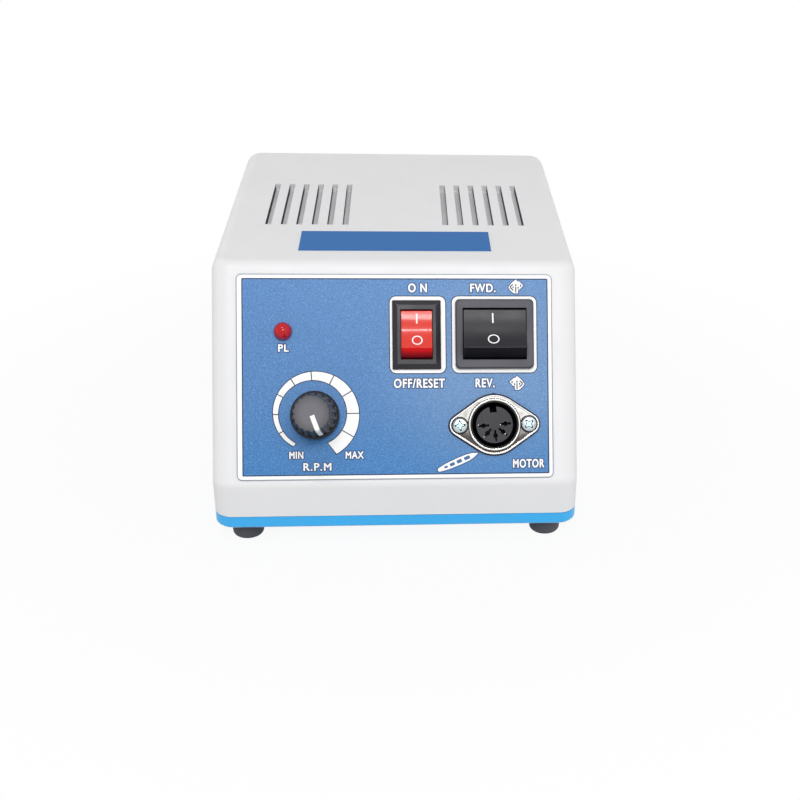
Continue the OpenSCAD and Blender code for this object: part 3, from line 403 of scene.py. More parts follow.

# Painted light on the overlay: painted shade deepens its blue towards its foot, and a painted sheen pales it round
# a point at the direction switch's foot
OVERLAY_FOOT_SHADE = (0.55, 0.93, 0.98)
OVERLAY_FOOT_SHADE_RISE = 30
OVERLAY_SHEEN = (0.055, 0.05, 0.02)
SHEEN_DROP = 11
SHEEN_REACH = (46, 10)
overlay_foot = face_box("front_overlay")[0].y / MM
sheen_middle = FACE @ (sum(face_box("direction_rocker"), Vector()) / 2 - Vector((0, SHEEN_DROP * MM, 0)))
overlay_blue = printed("overlay blue", (0.038, 0.178, 0.445), (0.094, 0.274, 0.575),
                       (0.018, 0.128, 0.368), 0.42, fleck=2300)
fade_down(overlay_blue, OVERLAY_FOOT_SHADE, overlay_foot, overlay_foot + OVERLAY_FOOT_SHADE_RISE, "MULTIPLY")
fade_round(overlay_blue, OVERLAY_SHEEN, sheen_middle, *SHEEN_REACH, "ADD")
label_blue = printed("label blue", (0.03, 0.15, 0.42), (0.034, 0.16, 0.44), (0.027, 0.14, 0.40), 0.5,
                     fleck=2600, shine=0.12)
ink_white = printed("ink white", (0.95, 0.95, 0.95), (0.97, 0.97, 0.97), (0.92, 0.92, 0.93), 0.4,
                    fleck=2600)
# Dark ink for printed lines; the line round the socket's flange uses it as a painted shadow
ink_and_shadow_line = printed("ink and shadow line", (0.02, 0.025, 0.06), (0.028, 0.034, 0.075), (0.016, 0.02, 0.05), 0.55,
                   shine=0.2)
ink_shadow = printed("ink shadow", (0.03, 0.06, 0.16), (0.036, 0.072, 0.19), (0.025, 0.05, 0.13), 0.55,
                     shine=0.2)
ink_window = printed("ink window", (0.024, 0.105, 0.3), (0.05, 0.16, 0.38), (0.014, 0.08, 0.24), 0.45)
ink_edge = printed("ink edge", (0.24, 0.24, 0.26), (0.27, 0.27, 0.29), (0.21, 0.21, 0.23), 0.45)

# The flange's plate is a darker, duller nickel, and painted dark reflection deepens in its lower half
DARK_REFLECTION_RISE = (-5, 4)
nickel = plated("nickel", (0.66, 0.645, 0.62), (0.42, 0.40, 0.37), (0.16, 0.3))
# The flange's outer edge and the inner slope of its lip are painted shade
nickel_edge_shade = plated("nickel edge painted shade", (0.045, 0.04, 0.042), (0.025, 0.024, 0.026), (0.35, 0.5))
nickel_plate_dark_reflection = plated("nickel dull painted reflection", (0.40, 0.392, 0.38), (0.2, 0.19, 0.18), (0.28, 0.42))
fade_down(nickel_plate_dark_reflection, (0.045, 0.04, 0.039), *[socket_at.y + rise for rise in DARK_REFLECTION_RISE])
zinc_bright = plated("zinc bright", (0.54, 0.60, 0.63), (0.34, 0.40, 0.43), (0.2, 0.32))
# The walls of the screws' cross recesses are painted shade
zinc_recess_shade = plated("zinc recess painted shade", (0.05, 0.085, 0.09), (0.03, 0.055, 0.06), (0.3, 0.4))
zinc_floor = plated("zinc recess floor", (0.42, 0.57, 0.60), (0.28, 0.39, 0.42), (0.22, 0.32))
# The contacts are near black as painted shade deep in their slots
contact_shade = plated("contact painted shade", (0.004, 0.0036, 0.0034), (0.003, 0.0028, 0.0026), (0.3, 0.45))
liner_black = moulded("liner black", (0.005, 0.005, 0.006), (0.35, 0.45), flow=1.3, shine=0.2)
island_grey = moulded("island grey", (0.016, 0.016, 0.020), (0.4, 0.5), flow=1.35, grain=2600,
                      shine=0.35)
# The contact base is darker and duller than the liner as painted shade in the socket's well
well_black_shade = moulded("well black painted shade", (0.003, 0.003, 0.004), (0.6, 0.7), flow=1.3, shine=0.04)
# Painted shadow for the dark rings round the socket's collar and screw heads
seat_shadow = moulded("seat painted shadow", (0.022, 0.02, 0.02), (0.5, 0.6), flow=1.3, shine=0.1)

# Fittings at the back and inside
zinc_steel = plated("zinc steel", (0.62, 0.62, 0.63), (0.48, 0.48, 0.47), (0.28, 0.42))
brass = plated("brass", (0.72, 0.58, 0.32), (0.5, 0.36, 0.18), (0.22, 0.38))
copper_winding = plated("copper winding", (0.62, 0.30, 0.14), (0.40, 0.17, 0.08), (0.3, 0.45))
core_iron = plated("core iron", (0.20, 0.21, 0.22), (0.13, 0.12, 0.11), (0.4, 0.55))
sink_aluminium = plated("sink aluminium", (0.35, 0.35, 0.36), (0.28, 0.28, 0.29), (0.35, 0.5))
bobbin_cream = moulded("bobbin cream", (0.75, 0.70, 0.58), (0.4, 0.5))
board_green = moulded("board green", (0.03, 0.22, 0.09), (0.25, 0.35), flow=0.8)
part_black = moulded("part black", (0.03, 0.03, 0.04), (0.35, 0.5), flow=1.2)
relay_blue = moulded("relay blue", (0.06, 0.18, 0.45), (0.3, 0.4))
fuse_clear = moulded("fuse clear", (0.9, 0.93, 0.93), (0.02, 0.05), depth=0.001,
                     **{"Transmission Weight": 1.0})

FINISH_OF_SLOT = {
    "cover_white": cover_white, "tray_blue": tray_blue, "foot_rubber": foot_rubber,
    "zinc_steel": zinc_steel, "screen_grey": screen_card, "overlay_blue": overlay_blue,
    "knob_black": knob_black, "mark_white": mark_white, "switch_black": fitting_black,
    "rocker_red": rocker_red, "lamp_red": lamp_red, "nickel": nickel, "insulator_black": liner_black,
    "brass_tin": brass, "fuse_clear": fuse_clear, "core_iron": core_iron, "bobbin_cream": bobbin_cream,
    "board_green": board_green, "component_black": part_black, "relay_blue": relay_blue,
    "sink_aluminium": sink_aluminium,
}
FINISH_OF_NODE = {
    "top_label": label_blue, "power_switch_body": bezel_black, "direction_switch_body": bezel_satin,
    "direction_rocker": rocker_black, "mode_rocker": rocker_black, "contact_island": island_grey,
    "transformer_winding": copper_winding, "socket_contacts": contact_shade, "contact_base": well_black_shade,
}


def finish_of(node):
    return FINISH_OF_NODE.get(node, FINISH_OF_SLOT[slot_of[node]])


# Pieces
EDGE_STEPS = 2
# Radius that breaks the sharp edges of each piece that shows; zero leaves them
EDGE_RADIUS = {
    "upper_cover": 0.25, "base_tray": 0.3, "rubber_feet": 0.2, "top_label": 0.08, "speed_knob": 0.08,
    "knob_pointer": 0.05, "power_switch_body": 0.18, "direction_switch_body": 0.3,
    "mode_switch_body": 0.15, "power_rocker": 0.3, "direction_rocker": 0.3, "mode_rocker": 0.2,
    "socket_shell": 0.22, "socket_insulator": 0.1, "contact_island": 0.1, "cord_grommet": 0.4,
    "fuse_holder": 0.3, "fuse_cap": 0.1, "pedal_jack": 0.2, "pedal_jack_nut": 0.15, "pilot_lamp": 0.0,
    "case_screws": 0.2,
}


def new_piece(name, bm, body, finish, place=Matrix.Identity(4)):
    """A finished mesh with its place in its points, riding on a body."""
    bmesh.ops.transform(bm, matrix=place, verts=bm.verts)
    bmesh.ops.recalc_face_normals(bm, faces=bm.faces)
    mesh = bpy.data.meshes.new(name)
    bm.to_mesh(mesh)
    bm.free()
    mesh.materials.append(finish)
    piece = bpy.data.objects.new(name, mesh)
    bpy.context.scene.collection.objects.link(piece)
    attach(piece, body)
    return piece


def smooth(piece):
    """Smooth shading that keeps sharp edges and lets flat faces stay flat."""
    mesh = piece.data
    mesh.polygons.foreach_set("use_smooth", [True] * len(mesh.polygons))
    mesh.set_sharp_from_angle(angle=SHARP_ANGLE)
    weighted = piece.modifiers.new("even shading", "WEIGHTED_NORMAL")
    weighted.keep_sharp = True
    return piece


def merged(node):
    """A CAD node's shape with its loose triangles joined."""
    bm = bmesh.new()
    bm.from_mesh(nodes[node].data)
    bmesh.ops.remove_doubles(bm, verts=bm.verts, dist=WELD)
    bmesh.ops.dissolve_limit(bm, angle_limit=FLAT_ANGLE, verts=bm.verts, edges=bm.edges)
    return bm


def finished(node, edge):
    """The node's own shape with its sharp edges broken by a small radius, standing for the node."""
    bm = merged(node)
    if edge:
        sharp = [line for line in bm.edges if line.is_manifold and line.calc_face_angle() > SHARP_ANGLE]
        bmesh.ops.bevel(bm, geom=sharp, offset=edge * MM, offset_type="OFFSET", segments=EDGE_STEPS,
                        profile=0.5, affect="EDGES", clamp_overlap=True, material=-1)
    piece = new_piece(node + "_finished", bm, body_of[node], finish_of(node))
    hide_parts(node)
    return smooth(piece)


def dress_nodes():
    """Finishes the pieces that show, and gives every other node its material."""
    shown = {node: finished(node, edge) for node, edge in EDGE_RADIUS.items()}
    for node, item in nodes.items():
        if node not in shown:
            item.data.materials.clear()
            item.data.materials.append(finish_of(node))
    return shown


# Flat shapes for print: drawn in millimetres on a plane, then given the ink's thickness
PRINT_T = 0.03
LINE_T = 0.018
OVERPRINT_T = 0.042
CORNER_STEPS = 8
MITRE_LIMIT = 1.6


def outline_face(points):
    bm = bmesh.new()
    bm.faces.new([bm.verts.new((x * MM, y * MM, 0)) for x, y in points])
    return bm


def plain_face(w, h):
    return outline_face([(-w / 2, -h / 2), (w / 2, -h / 2), (w / 2, h / 2), (-w / 2, h / 2)])


def rounded_face(w, h, radius):
    bm = plain_face(w, h)
    bmesh.ops.bevel(bm, geom=bm.verts[:], offset=radius * MM, offset_type="OFFSET",
                    segments=CORNER_STEPS, profile=0.5, affect="VERTICES", material=-1)
    return bm


def open_middle(bm, border):
    """Takes the middle out of a flat shape and leaves a border."""
    bm.normal_update()
    middle = bm.faces[:]
    bmesh.ops.inset_region(bm, faces=middle, thickness=border * MM, use_boundary=True,
                           use_even_offset=True)
    bmesh.ops.delete(bm, geom=middle, context="FACES")
    return bm


def frame_face(w, h, radius, border):
    return open_middle(rounded_face(w, h, radius), border)


def ring_face(inner, outer):
    bm = bmesh.new()
    ends = [bm.verts.new((0, radius * MM, 0)) for radius in (inner, outer)]
    edge = bm.edges.new(ends)
    bmesh.ops.spin(bm, geom=[edge, *ends], cent=(0, 0, 0), axis=(0, 0, -1), angle=math.tau,
                   steps=CIRCLE_STEPS, use_merge=True)
    return bm


def widen(bm, margin):
    """Moves the outline of a flat shape outwards, so that its strokes grow heavier."""
    sides = {}
    for edge in bm.edges:
        if edge.is_boundary:
            start, end = edge.verts
            along = end.co - start.co
            across = Vector((along.y, -along.x, 0)).normalized()
            if across.dot(start.co - edge.link_faces[0].calc_center_median()) < 0:
                across.negate()
            sides.setdefault(start, []).append(across)
            sides.setdefault(end, []).append(across)
    moves = {}
    for vert, across in sides.items():
        total = sum(across, Vector())
        mitre = total * len(across) / max(total.length_squared, TINY)
        moves[vert] = mitre * min(1, MITRE_LIMIT / max(mitre.length, TINY))
    for vert, move in moves.items():
        vert.co += move * margin * MM
    return bm


def thicken(bm, thickness):
    raised = bmesh.ops.extrude_face_region(bm, geom=bm.faces[:])
    verts = [item for item in raised["geom"] if isinstance(item, bmesh.types.BMVert)]
    bmesh.ops.translate(bm, verts=verts, vec=(0, 0, thickness * MM))
    return bm


def on_face(at, turn=0.0):
    place = Matrix.Translation((at[0] * MM, at[1] * MM, 0))
    return FACE @ place @ Matrix.Rotation(math.radians(turn), 4, "Z")


def print_on_face(name, bm, at, finish, thickness=PRINT_T, turn=0.0):
    new_piece(name, thicken(bm, thickness), "chassis", finish, on_face(at, turn))


# Overlay border, with a little spare for picking out its inner left edge
BORDER = 1.35
BORDER_LEFT = 1.72
BORDER_RADIUS = 1.7
INNER_RADIUS = BORDER_RADIUS / 3
BORDER_SPARE = 0.01
EDGE_LINE = 0.28
INNER_LINE = 0.32


def print_border():
    """A grey line at the edge, a white border that is wider on its left, and a dark line inside it."""
    middle = (0, 0)
    edge = frame_face(overlay_w, overlay_h, BORDER_RADIUS, EDGE_LINE)
    print_on_face("overlay_edge_line", edge, middle, ink_edge, LINE_T)
    white_w = overlay_w - 2 * EDGE_LINE
    white_h = overlay_h - 2 * EDGE_LINE
    white = frame_face(white_w, white_h, BORDER_RADIUS - EDGE_LINE, BORDER - EDGE_LINE)
    hole_left = -white_w / 2 + (BORDER - EDGE_LINE)
    left_over = BORDER_LEFT - BORDER
    for vert in white.verts:
        if hole_left - BORDER_SPARE < vert.co.x / MM < hole_left + BORDER_RADIUS:
            vert.co.x += left_over * MM
    print_on_face("overlay_white_border", white, middle, ink_white)
    line_w = overlay_w - BORDER - BORDER_LEFT
    line = frame_face(line_w, overlay_h - 2 * BORDER, INNER_RADIUS, INNER_LINE)
    print_on_face("overlay_inner_line", line, (left_over / 2, 0), ink_and_shadow_line, LINE_T)


# Frames round the switches: name, switch, place from its middle, and width
SWITCH_FRAMES = [("power", power_at, (0.35, 0.05), 17.6), ("direction", turn_at, (0, -0.1), 27.0)]
SWITCH_FRAME_H = 24.4
SWITCH_FRAME_R = 2.0
SWITCH_FRAME_BORDER = 2.4
FRAME_LINE = 0.27


def print_switch_frames():
    for name, at, offset, width in SWITCH_FRAMES:
        place = at + Vector(offset)
        line = frame_face(width + 2 * FRAME_LINE, SWITCH_FRAME_H + 2 * FRAME_LINE,
                          SWITCH_FRAME_R + FRAME_LINE, 2 * FRAME_LINE)
        print_on_face(name + "_frame_line", line, place, ink_and_shadow_line, LINE_T)
        white = frame_face(width, SWITCH_FRAME_H, SWITCH_FRAME_R, SWITCH_FRAME_BORDER)
        print_on_face(name + "_frame", white, place, ink_white)


# Speed band: turns run clockwise from straight up, and the band swells from its thin start to its end
DIAL_START = -147
DIAL_END = 153
DIAL_STEPS = 99
DIAL_RADIUS = 12.15
DIAL_DIP = 0.75
DIAL_DIP_SHARE = 0.27
DIAL_WIDTHS = (1.1, 4.3)
DIAL_LINE = 0.3
DIAL_EDGE = 0.26
DIAL_SLANT = 1.8
DIAL_LINE_TURNS = (-118.5, -90, -61, -33, -4, 27, 58, 89, 120.5)
DIAL_OFFSET = (-0.3, 0.36)
dial_at = knob_at + Vector(DIAL_OFFSET)


def dial_radius(turn, side, margin=0.0):
    """Inner or outer radius at a turn: the band starts nearer the knob, and swells fastest half way."""
    share = min(max((turn - DIAL_START) / (DIAL_END - DIAL_START), 0), 1)
    swell = share * share * (3 - 2 * share)
    width = DIAL_WIDTHS[0] + (DIAL_WIDTHS[1] - DIAL_WIDTHS[0]) * (share + swell) / 2
    dip = DIAL_DIP * max(1 - share / DIAL_DIP_SHARE, 0) ** 2
    return DIAL_RADIUS - dip + side * (width / 2 + margin)


def dial_point(turn, side, margin):
    out = Vector((math.sin(math.radians(turn)), math.cos(math.radians(turn)), 0))
    return out * dial_radius(turn, side, margin) * MM


def dial_band(margin):
    """The band, with a slanted cut at its wide end and a margin all round for its outline."""
    spare = math.degrees(margin / DIAL_RADIUS)
    start, end = DIAL_START - spare, DIAL_END + spare
    bm = bmesh.new()
    rungs = []
    for step in range(DIAL_STEPS + 1):
        turn = start + (end - start) * step / DIAL_STEPS
        slant = DIAL_SLANT if step == DIAL_STEPS else 0
        rungs.append([bm.verts.new(dial_point(turn - side * slant, side, margin)) for side in (-1, 1)])
    for (inner, outer), (next_inner, next_outer) in zip(rungs, rungs[1:]):
        bm.faces.new((inner, next_inner, next_outer, outer))
    return bm


def print_dial():
    print_on_face("dial_outline", dial_band(DIAL_EDGE), dial_at, ink_and_shadow_line, LINE_T)
    print_on_face("dial_band", dial_band(0), dial_at, ink_white)
    half = DIAL_LINE / 2
    for number, turn in enumerate(DIAL_LINE_TURNS):
        inner, outer = dial_radius(turn, -1), dial_radius(turn, 1)
        line = outline_face([(-half, inner), (half, inner), (half, outer), (-half, outer)])
        print_on_face(f"dial_line_{number}", line, dial_at, ink_and_shadow_line, OVERPRINT_T, -turn)


# Words beside the controls: text, control, place from the control's middle, width and height
WORDS = [
    ("PL", lamp_at, (0.1, -5.25), 3.3, 2.4),
    ("O N", power_at, (0.4, 15.0), 6.0, 2.9),
    ("OFF/RESET", power_at, (0.75, -15.4), 16.2, 3.0),
    ("FWD.", turn_at, (-3.55, 14.8), 8.2, 2.8),
    ("REV.", turn_at, (-3.1, -15.6), 6.2, 2.9),
    ("MIN", knob_at, (-6.0, -12.5), 4.4, 2.3),
    ("MAX", knob_at, (12.25, -12.6), 5.7, 2.3),
    ("R.P.M", knob_at, (0.55, -16.25), 8.8, 2.5),
    ("MOTOR", socket_at, (10.9, -12.4), 10.1, 2.8),
]
# Share of a letter's height that its strokes gain on each side, and the dark line round them
LETTER_WEIGHT = 0.04
LETTER_LINE = 0.26
LETTER_SPACE = 1.15
LETTER_WELD = 1e-5


def letter_mesh(text, width, height, margin=0.0):
    """Flat lettering in the built-in face, fitted to its width and height about its middle."""
    curve = bpy.data.curves.new("lettering", "FONT")
    curve.body = text
    curve.space_character = LETTER_SPACE
    holder = bpy.data.objects.new("lettering", curve)
    bpy.context.scene.collection.objects.link(holder)
    mesh = bpy.data.meshes.new_from_object(holder.evaluated_get(bpy.context.evaluated_depsgraph_get()))
    bpy.data.objects.remove(holder)
    bpy.data.curves.remove(curve)
    bm = bmesh.new()
    bm.from_mesh(mesh)
    bpy.data.meshes.remove(mesh)
    bmesh.ops.remove_doubles(bm, verts=bm.verts, dist=LETTER_WELD)
    spans = [[vert.co[axis] for vert in bm.verts] for axis in range(2)]
    low = Vector((min(spans[0]), min(spans[1]), 0))
    high = Vector((max(spans[0]), max(spans[1]), 0))
    bmesh.ops.translate(bm, verts=bm.verts, vec=-(low + high) / 2)
    weight = LETTER_WEIGHT * height
    fit_x = (width - 2 * weight) * MM / (high.x - low.x)
    fit_y = (height - 2 * weight) * MM / (high.y - low.y)
    bmesh.ops.scale(bm, verts=bm.verts, vec=(fit_x, fit_y, 1))
    return widen(bm, weight + margin)


def print_words():
    for text, at, offset, width, height in WORDS:
        name = "word_" + "".join(letter for letter in text if letter.isalpha()).lower()
        place = at + Vector(offset)
        print_on_face(name, letter_mesh(text, width, height), place, ink_white)
        line = letter_mesh(text, width, height, LETTER_LINE)
        print_on_face(name + "_line", line, place, ink_shadow, LINE_T)


# Picture of a handpiece beside the socket: half its outline, then each window's place along it and size
HANDPIECE_TURN = 23
HANDPIECE_AT = (-11.75, -11.7)
HANDPIECE_HALF = [(-6.9, 0.3), (-6.4, 0.6), (-3.6, 1.02), (0.5, 1.15), (3.6, 1.05), (5.5, 0.7),
                  (6.2, 0.35), (6.9, 0.2)]
HANDPIECE_WINDOWS = [(-4.1, 1.1, 0.7), (-1.9, 1.6, 1.0), (0.5, 1.7, 1.1), (3.2, 1.9, 1.05)]
WINDOW_ROUND = 0.2


def print_handpiece():
    at = socket_at + Vector(HANDPIECE_AT)
    plan = [(x, -y) for x, y in HANDPIECE_HALF] + HANDPIECE_HALF[::-1]
    print_on_face("handpiece_picture", outline_face(plan), at, ink_white, turn=HANDPIECE_TURN)
    around = widen(outline_face(plan), LETTER_LINE)
    print_on_face("handpiece_outline", around, at, ink_shadow, LINE_T, HANDPIECE_TURN)
    turned = Matrix.Rotation(math.radians(HANDPIECE_TURN), 2)
    for number, (along, width, height) in enumerate(HANDPIECE_WINDOWS):
        window = rounded_face(width, height, height * WINDOW_ROUND)
        spot = at + turned @ Vector((along, 0))
        print_on_face(f"handpiece_window_{number}", window, spot, ink_window, OVERPRINT_T,
                      HANDPIECE_TURN)


# Turning arrows beside the two directions: outline, then start and end of each dark dash
FORWARD_AT = (7.0, 15.35)
REVERSE_AT = (7.1, -15.6)
ARROW_LINE = 0.36
ARROW_PLAN = [(0.0, 2.2), (0.6, 1.57), (1.12, 1.55), (2.42, 0.3), (1.27, -1.0), (0.77, -1.0),
              (0.67, -2.25), (-0.67, -2.25), (-1.82, -1.25), (-2.4, -0.35), (-1.97, 0.3), (-1.32, 1.1)]
ARROW_DASHES = [((0, -0.3), (0, -1.8)), ((0, 0.55), (0, 0.25)), ((-1.05, 0.5), (-1.68, -0.05)),
                ((-1.68, -0.05), (-1.6, -0.55)), ((-1.6, -0.55), (-0.92, -1.25)),
                ((1.58, 0.4), (1.58, 0.05)), ((0.75, -0.3), (0.75, -0.65)),
                ((-0.85, -0.2), (-0.85, -0.45))]


def print_arrow(name, at, side):
    """A white turning arrow round a shaft, with dark dashes that give its sense."""
    plan = [(x * side, y) for x, y in ARROW_PLAN]
    print_on_face(name, outline_face(plan), at, ink_white)
    print_on_face(name + "_outline", widen(outline_face(plan), LETTER_LINE), at, ink_shadow, LINE_T)
    for number, ((x0, y0), (x1, y1)) in enumerate(ARROW_DASHES):
        start, end = Vector((x0 * side, y0)), Vector((x1 * side, y1))
        along = (end - start).normalized() * ARROW_LINE / 2
        across = Vector((-along.y, along.x))
        start, end = start - along, end + along
        dash = outline_face([start - across, end - across, end + across, start + across])
        print_on_face(f"{name}_dash_{number}", dash, at, ink_and_shadow_line, OVERPRINT_T)


def print_arrows():
    print_arrow("forward_arrow", turn_at + Vector(FORWARD_AT), 1)
    print_arrow("reverse_arrow", turn_at + Vector(REVERSE_AT), -1)


# Foot of the knob's pointer: distance from the knob's axis and drop below its top, round its outline
POINTER_TURN = 160
FOOT_HALF = 0.62
FOOT_PLAN = [(5.3, 0.0), (5.45, 0.0), (5.85, 0.35), (6.82, 10.3), (6.3, 10.3), (5.4, 0.6)]


def mark_knob():
    """The pointer's white line folded over the knob's edge and down its side, greyer there as painted shade."""
    bm = outline_face([(reach, -drop) for reach, drop in FOOT_PLAN])
    thicken(bm, 2 * FOOT_HALF)
    stand = Matrix(((0, 0, 1), (1, 0, 0), (0, 1, 0))).to_4x4()
    top = Matrix.Translation((0, 0, knob_top))
    place = on_face(knob_at, -POINTER_TURN) @ top @ stand @ Matrix.Translation((0, 0, -FOOT_HALF * MM))
    smooth(new_piece("pointer_foot", bm, body_of["speed_knob"], mark_side_shade, place))


# Marks on the rockers: rocker and its face, the bar's place and size, the ring's place, size and stroke
ROCKER_MARKS = [
    ("power_rocker", on_face(power_at), (0.05, 4.95), (0.45, 3.2), (0.15, -2.1), (3.4, 3.0, 0.4)),
    ("direction_rocker", on_face(turn_at), (-0.65, 4.9), (0.45, 3.2), (-0.55, -1.95), (3.7, 3.0, 0.4)),
    ("mode_rocker", MODE_FACE, (0, 3.0), (0.35, 1.8), (0, -1.2), (1.9, 1.7, 0.3)),
]
BAR_CUTS = 5
RAY_START = 1000


def lay_on(bm, node, place):
    """Drops a flat mark onto a node's surface, along the place's own depth axis."""
    surface = merged(node)
    bmesh.ops.transform(surface, matrix=place.inverted(), verts=surface.verts)
    bmesh.ops.triangulate(surface, faces=surface.faces)
    tree = BVHTree.FromBMesh(surface)
    surface.free()
    for vert in bm.verts:
        start = Vector((vert.co.x, vert.co.y, RAY_START * MM))
        hit = tree.ray_cast(start, Vector((0, 0, -1)))[0]
        vert.co.z += hit.z
    return bm


def bar_mark(width, height):
    """A bar with enough cuts along it to follow a dished face."""
    bm = plain_face(width, height)
    upright = [edge for edge in bm.edges if abs(edge.verts[0].co.y - edge.verts[1].co.y) > TINY]
    bmesh.ops.subdivide_edges(bm, edges=upright, cuts=BAR_CUTS, use_grid_fill=True)
    return bm


def ring_mark(width, height, stroke):
    outer = width / 2
    bm = ring_face(outer - stroke, outer)
    bmesh.ops.scale(bm, verts=bm.verts, vec=(1, height / width, 1))
    return bm


def mark_rockers():
    """A bar and a ring printed on the dished face of each rocker, riding with it."""
    for node, face, bar_at, bar, ring_at, ring in ROCKER_MARKS:
        for kind, at, bm in (("bar", bar_at, bar_mark(*bar)), ("ring", ring_at, ring_mark(*ring))):
            spot = face @ Matrix.Translation((at[0] * MM, at[1] * MM, 0))
            mark = lay_on(thicken(bm, PRINT_T), node, spot)
            new_piece(f"{node}_{kind}", mark, body_of[node], ink_white, spot)


# Socket screws: pan heads with a cross recess, their profile from the top's edge down to the seat
HEAD_H = 1.2
HEAD_PROFILE = [(1.85, HEAD_H), (2.15, 1.06), (2.36, 0.76), (2.45, 0.4), (2.45, 0.0)]
SHANK_RADIUS = 1.25
CROSS_ARM = 1.72
CROSS_TIP = 0.3
CROSS_INNER = 0.6
CROSS_DEPTH = 0.5
CROSS_TAPER = 0.7
SCREW_TURNS = (6, 42)
flange_top = top_of("socket_screws") - HEAD_H * MM


def screw_boxes():
    """Corners of the left and the right socket screw on the front face's axes."""
    middle = socket_at.x * MM
    return [face_box("socket_screws", lambda point: (point.x - middle) * side > 0) for side in (-1, 1)]


def cross_outline(z):
    quarter = [(CROSS_ARM, -CROSS_TIP), (CROSS_ARM, CROSS_TIP), (CROSS_INNER, CROSS_INNER)]
    points = []
    for turn in range(4):
        spin = Matrix.Rotation(turn * math.pi / 2, 2)
        points += [spin @ Vector(point) for point in quarter]
    return [(point.x * MM, point.y * MM, z * MM) for point in points]


def pan_screw(depth):
    """A pan-head screw along +Z with its seat at zero and its shank reaching down."""
    bm = bmesh.new()
    profile = HEAD_PROFILE + [(SHANK_RADIUS, 0.0), (SHANK_RADIUS, -depth)]
    verts = [bm.verts.new((r * MM, 0, z * MM)) for r, z in profile]
    edges = [bm.edges.new(pair) for pair in zip(verts, verts[1:])]
    bmesh.ops.spin(bm, geom=verts + edges, cent=(0, 0, 0), axis=(0, 0, 1), angle=math.tau,
                   steps=CIRCLE_STEPS, use_merge=True)
    bmesh.ops.remove_doubles(bm, verts=bm.verts, dist=WELD)
    rims = [edge for edge in bm.edges if edge.is_boundary]
    bottom = [edge for edge in rims if edge.verts[0].co.z < 0]
    bmesh.ops.edgeloop_fill(bm, edges=bottom)
    cross = [bm.verts.new(point) for point in cross_outline(HEAD_H)]
    lip = [bm.edges.new((cross[i], cross[i - 1])) for i in range(len(cross))]
    rim = [edge for edge in rims if edge not in bottom]
    bmesh.ops.triangle_fill(bm, edges=rim + lip, use_beauty=True)
    wall = bmesh.ops.extrude_edge_only(bm, edges=lip)["geom"]
    sunk = [item for item in wall if isinstance(item, bmesh.types.BMVert)]
    bmesh.ops.scale(bm, verts=sunk, vec=(CROSS_TAPER, CROSS_TAPER, 1))
    bmesh.ops.translate(bm, verts=sunk, vec=(0, 0, -CROSS_DEPTH * MM))
    floor = [item for item in wall if isinstance(item, bmesh.types.BMEdge) and item.is_boundary]
    sides = [item for item in wall if isinstance(item, bmesh.types.BMFace)]
    bed = bmesh.ops.edgeloop_fill(bm, edges=floor)["faces"]
    for number, faces in enumerate((sides, bed), 1):
        for face in faces:
            face.material_index = number
    return bm


def socket_screws():
    """Both screws as one piece; the walls of their recesses are painted shade, and their floors have a finish of
    their own.
    """
    whole = bmesh.new()
    for (low, high), turn in zip(screw_boxes(), SCREW_TURNS):
        seat = high.z - HEAD_H * MM
        bm = pan_screw((seat - low.z) / MM)
        spot = Matrix.Translation(((low.x + high.x) / 2, (low.y + high.y) / 2, seat))
        spin = Matrix.Rotation(math.radians(turn), 4, "Z")
        bmesh.ops.transform(bm, matrix=spot @ spin, verts=bm.verts)
        part = bpy.data.meshes.new("socket screw")
        bm.to_mesh(part)
        bm.free()
        whole.from_mesh(part)
        bpy.data.meshes.remove(part)
    piece = new_piece("socket_screws_finished", whole, "chassis", zinc_bright, FACE)
    piece.data.materials.append(zinc_recess_shade)
    piece.data.materials.append(zinc_floor)
    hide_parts("socket_screws")
    smooth(piece)


# Painted shadow lines of the motor socket: half width of the flange's line and reach of its edge from the overlay,
# then inner and outer radius of each ring
FLANGE_SHADOW_LINE = 0.46
FLANGE_REACH = 0.6
COLLAR_SHADOW_LINE = (8.2, 8.5)
SCREW_SHADOW_LINE = (2.4, 2.82)
# Tips of its contacts: turn round the socket and distance from its middle
TIP_SPOTS = [(181, 5.17), (229, 5.1), (319, 4.5), (1, 1.86)]
TIP_SIZE = 0.3
TIP_RADIUS = 0.1
TIP_T = 0.2


def ring_on_flange(name, at, radii):
    seat = Matrix.Translation((0, 0, flange_top))
    ring = thicken(ring_face(*radii), LINE_T)
    new_piece(name, ring, "chassis", seat_shadow, on_face(at) @ seat)


def paint_socket_shadows():
    """Painted shadow lines on the overlay round the flange, and on the flange round the collar and screw heads."""
    points = [TO_FACE @ vert.co for vert in nodes["socket_shell"].data.vertices]
    plan = [(point.x / MM, point.y / MM) for point in points if abs(point.z) < FLANGE_REACH * MM]
    around = outline_face([plan[index] for index in convex_hull_2d(plan)])
    line = open_middle(widen(around, FLANGE_SHADOW_LINE), 2 * FLANGE_SHADOW_LINE)
    print_on_face("socket_flange_shadow_line", line, (0, 0), ink_and_shadow_line, LINE_T)
    ring_on_flange("socket_collar_shadow_line", socket_at, COLLAR_SHADOW_LINE)
    for number, box in enumerate(screw_boxes()):
        ring_on_flange(f"socket_screw_shadow_line_{number}", middle_of(*box), SCREW_SHADOW_LINE)


def tip_contacts():
    """Bright ends of the contact springs, half sunk in the edges of their slots."""
    top = Matrix.Translation((0, 0, top_of("contact_island") - TIP_T / 2 * MM))
    for number, (turn, reach) in enumerate(TIP_SPOTS):
        spot = Vector((reach, 0))
        spot.rotate(Matrix.Rotation(math.radians(turn), 2))
        tip = thicken(rounded_face(TIP_SIZE, TIP_SIZE, TIP_RADIUS), TIP_T)
        place = on_face(socket_at + spot, turn) @ top
        new_piece(f"contact_tip_{number}", tip, "chassis", nickel, place)


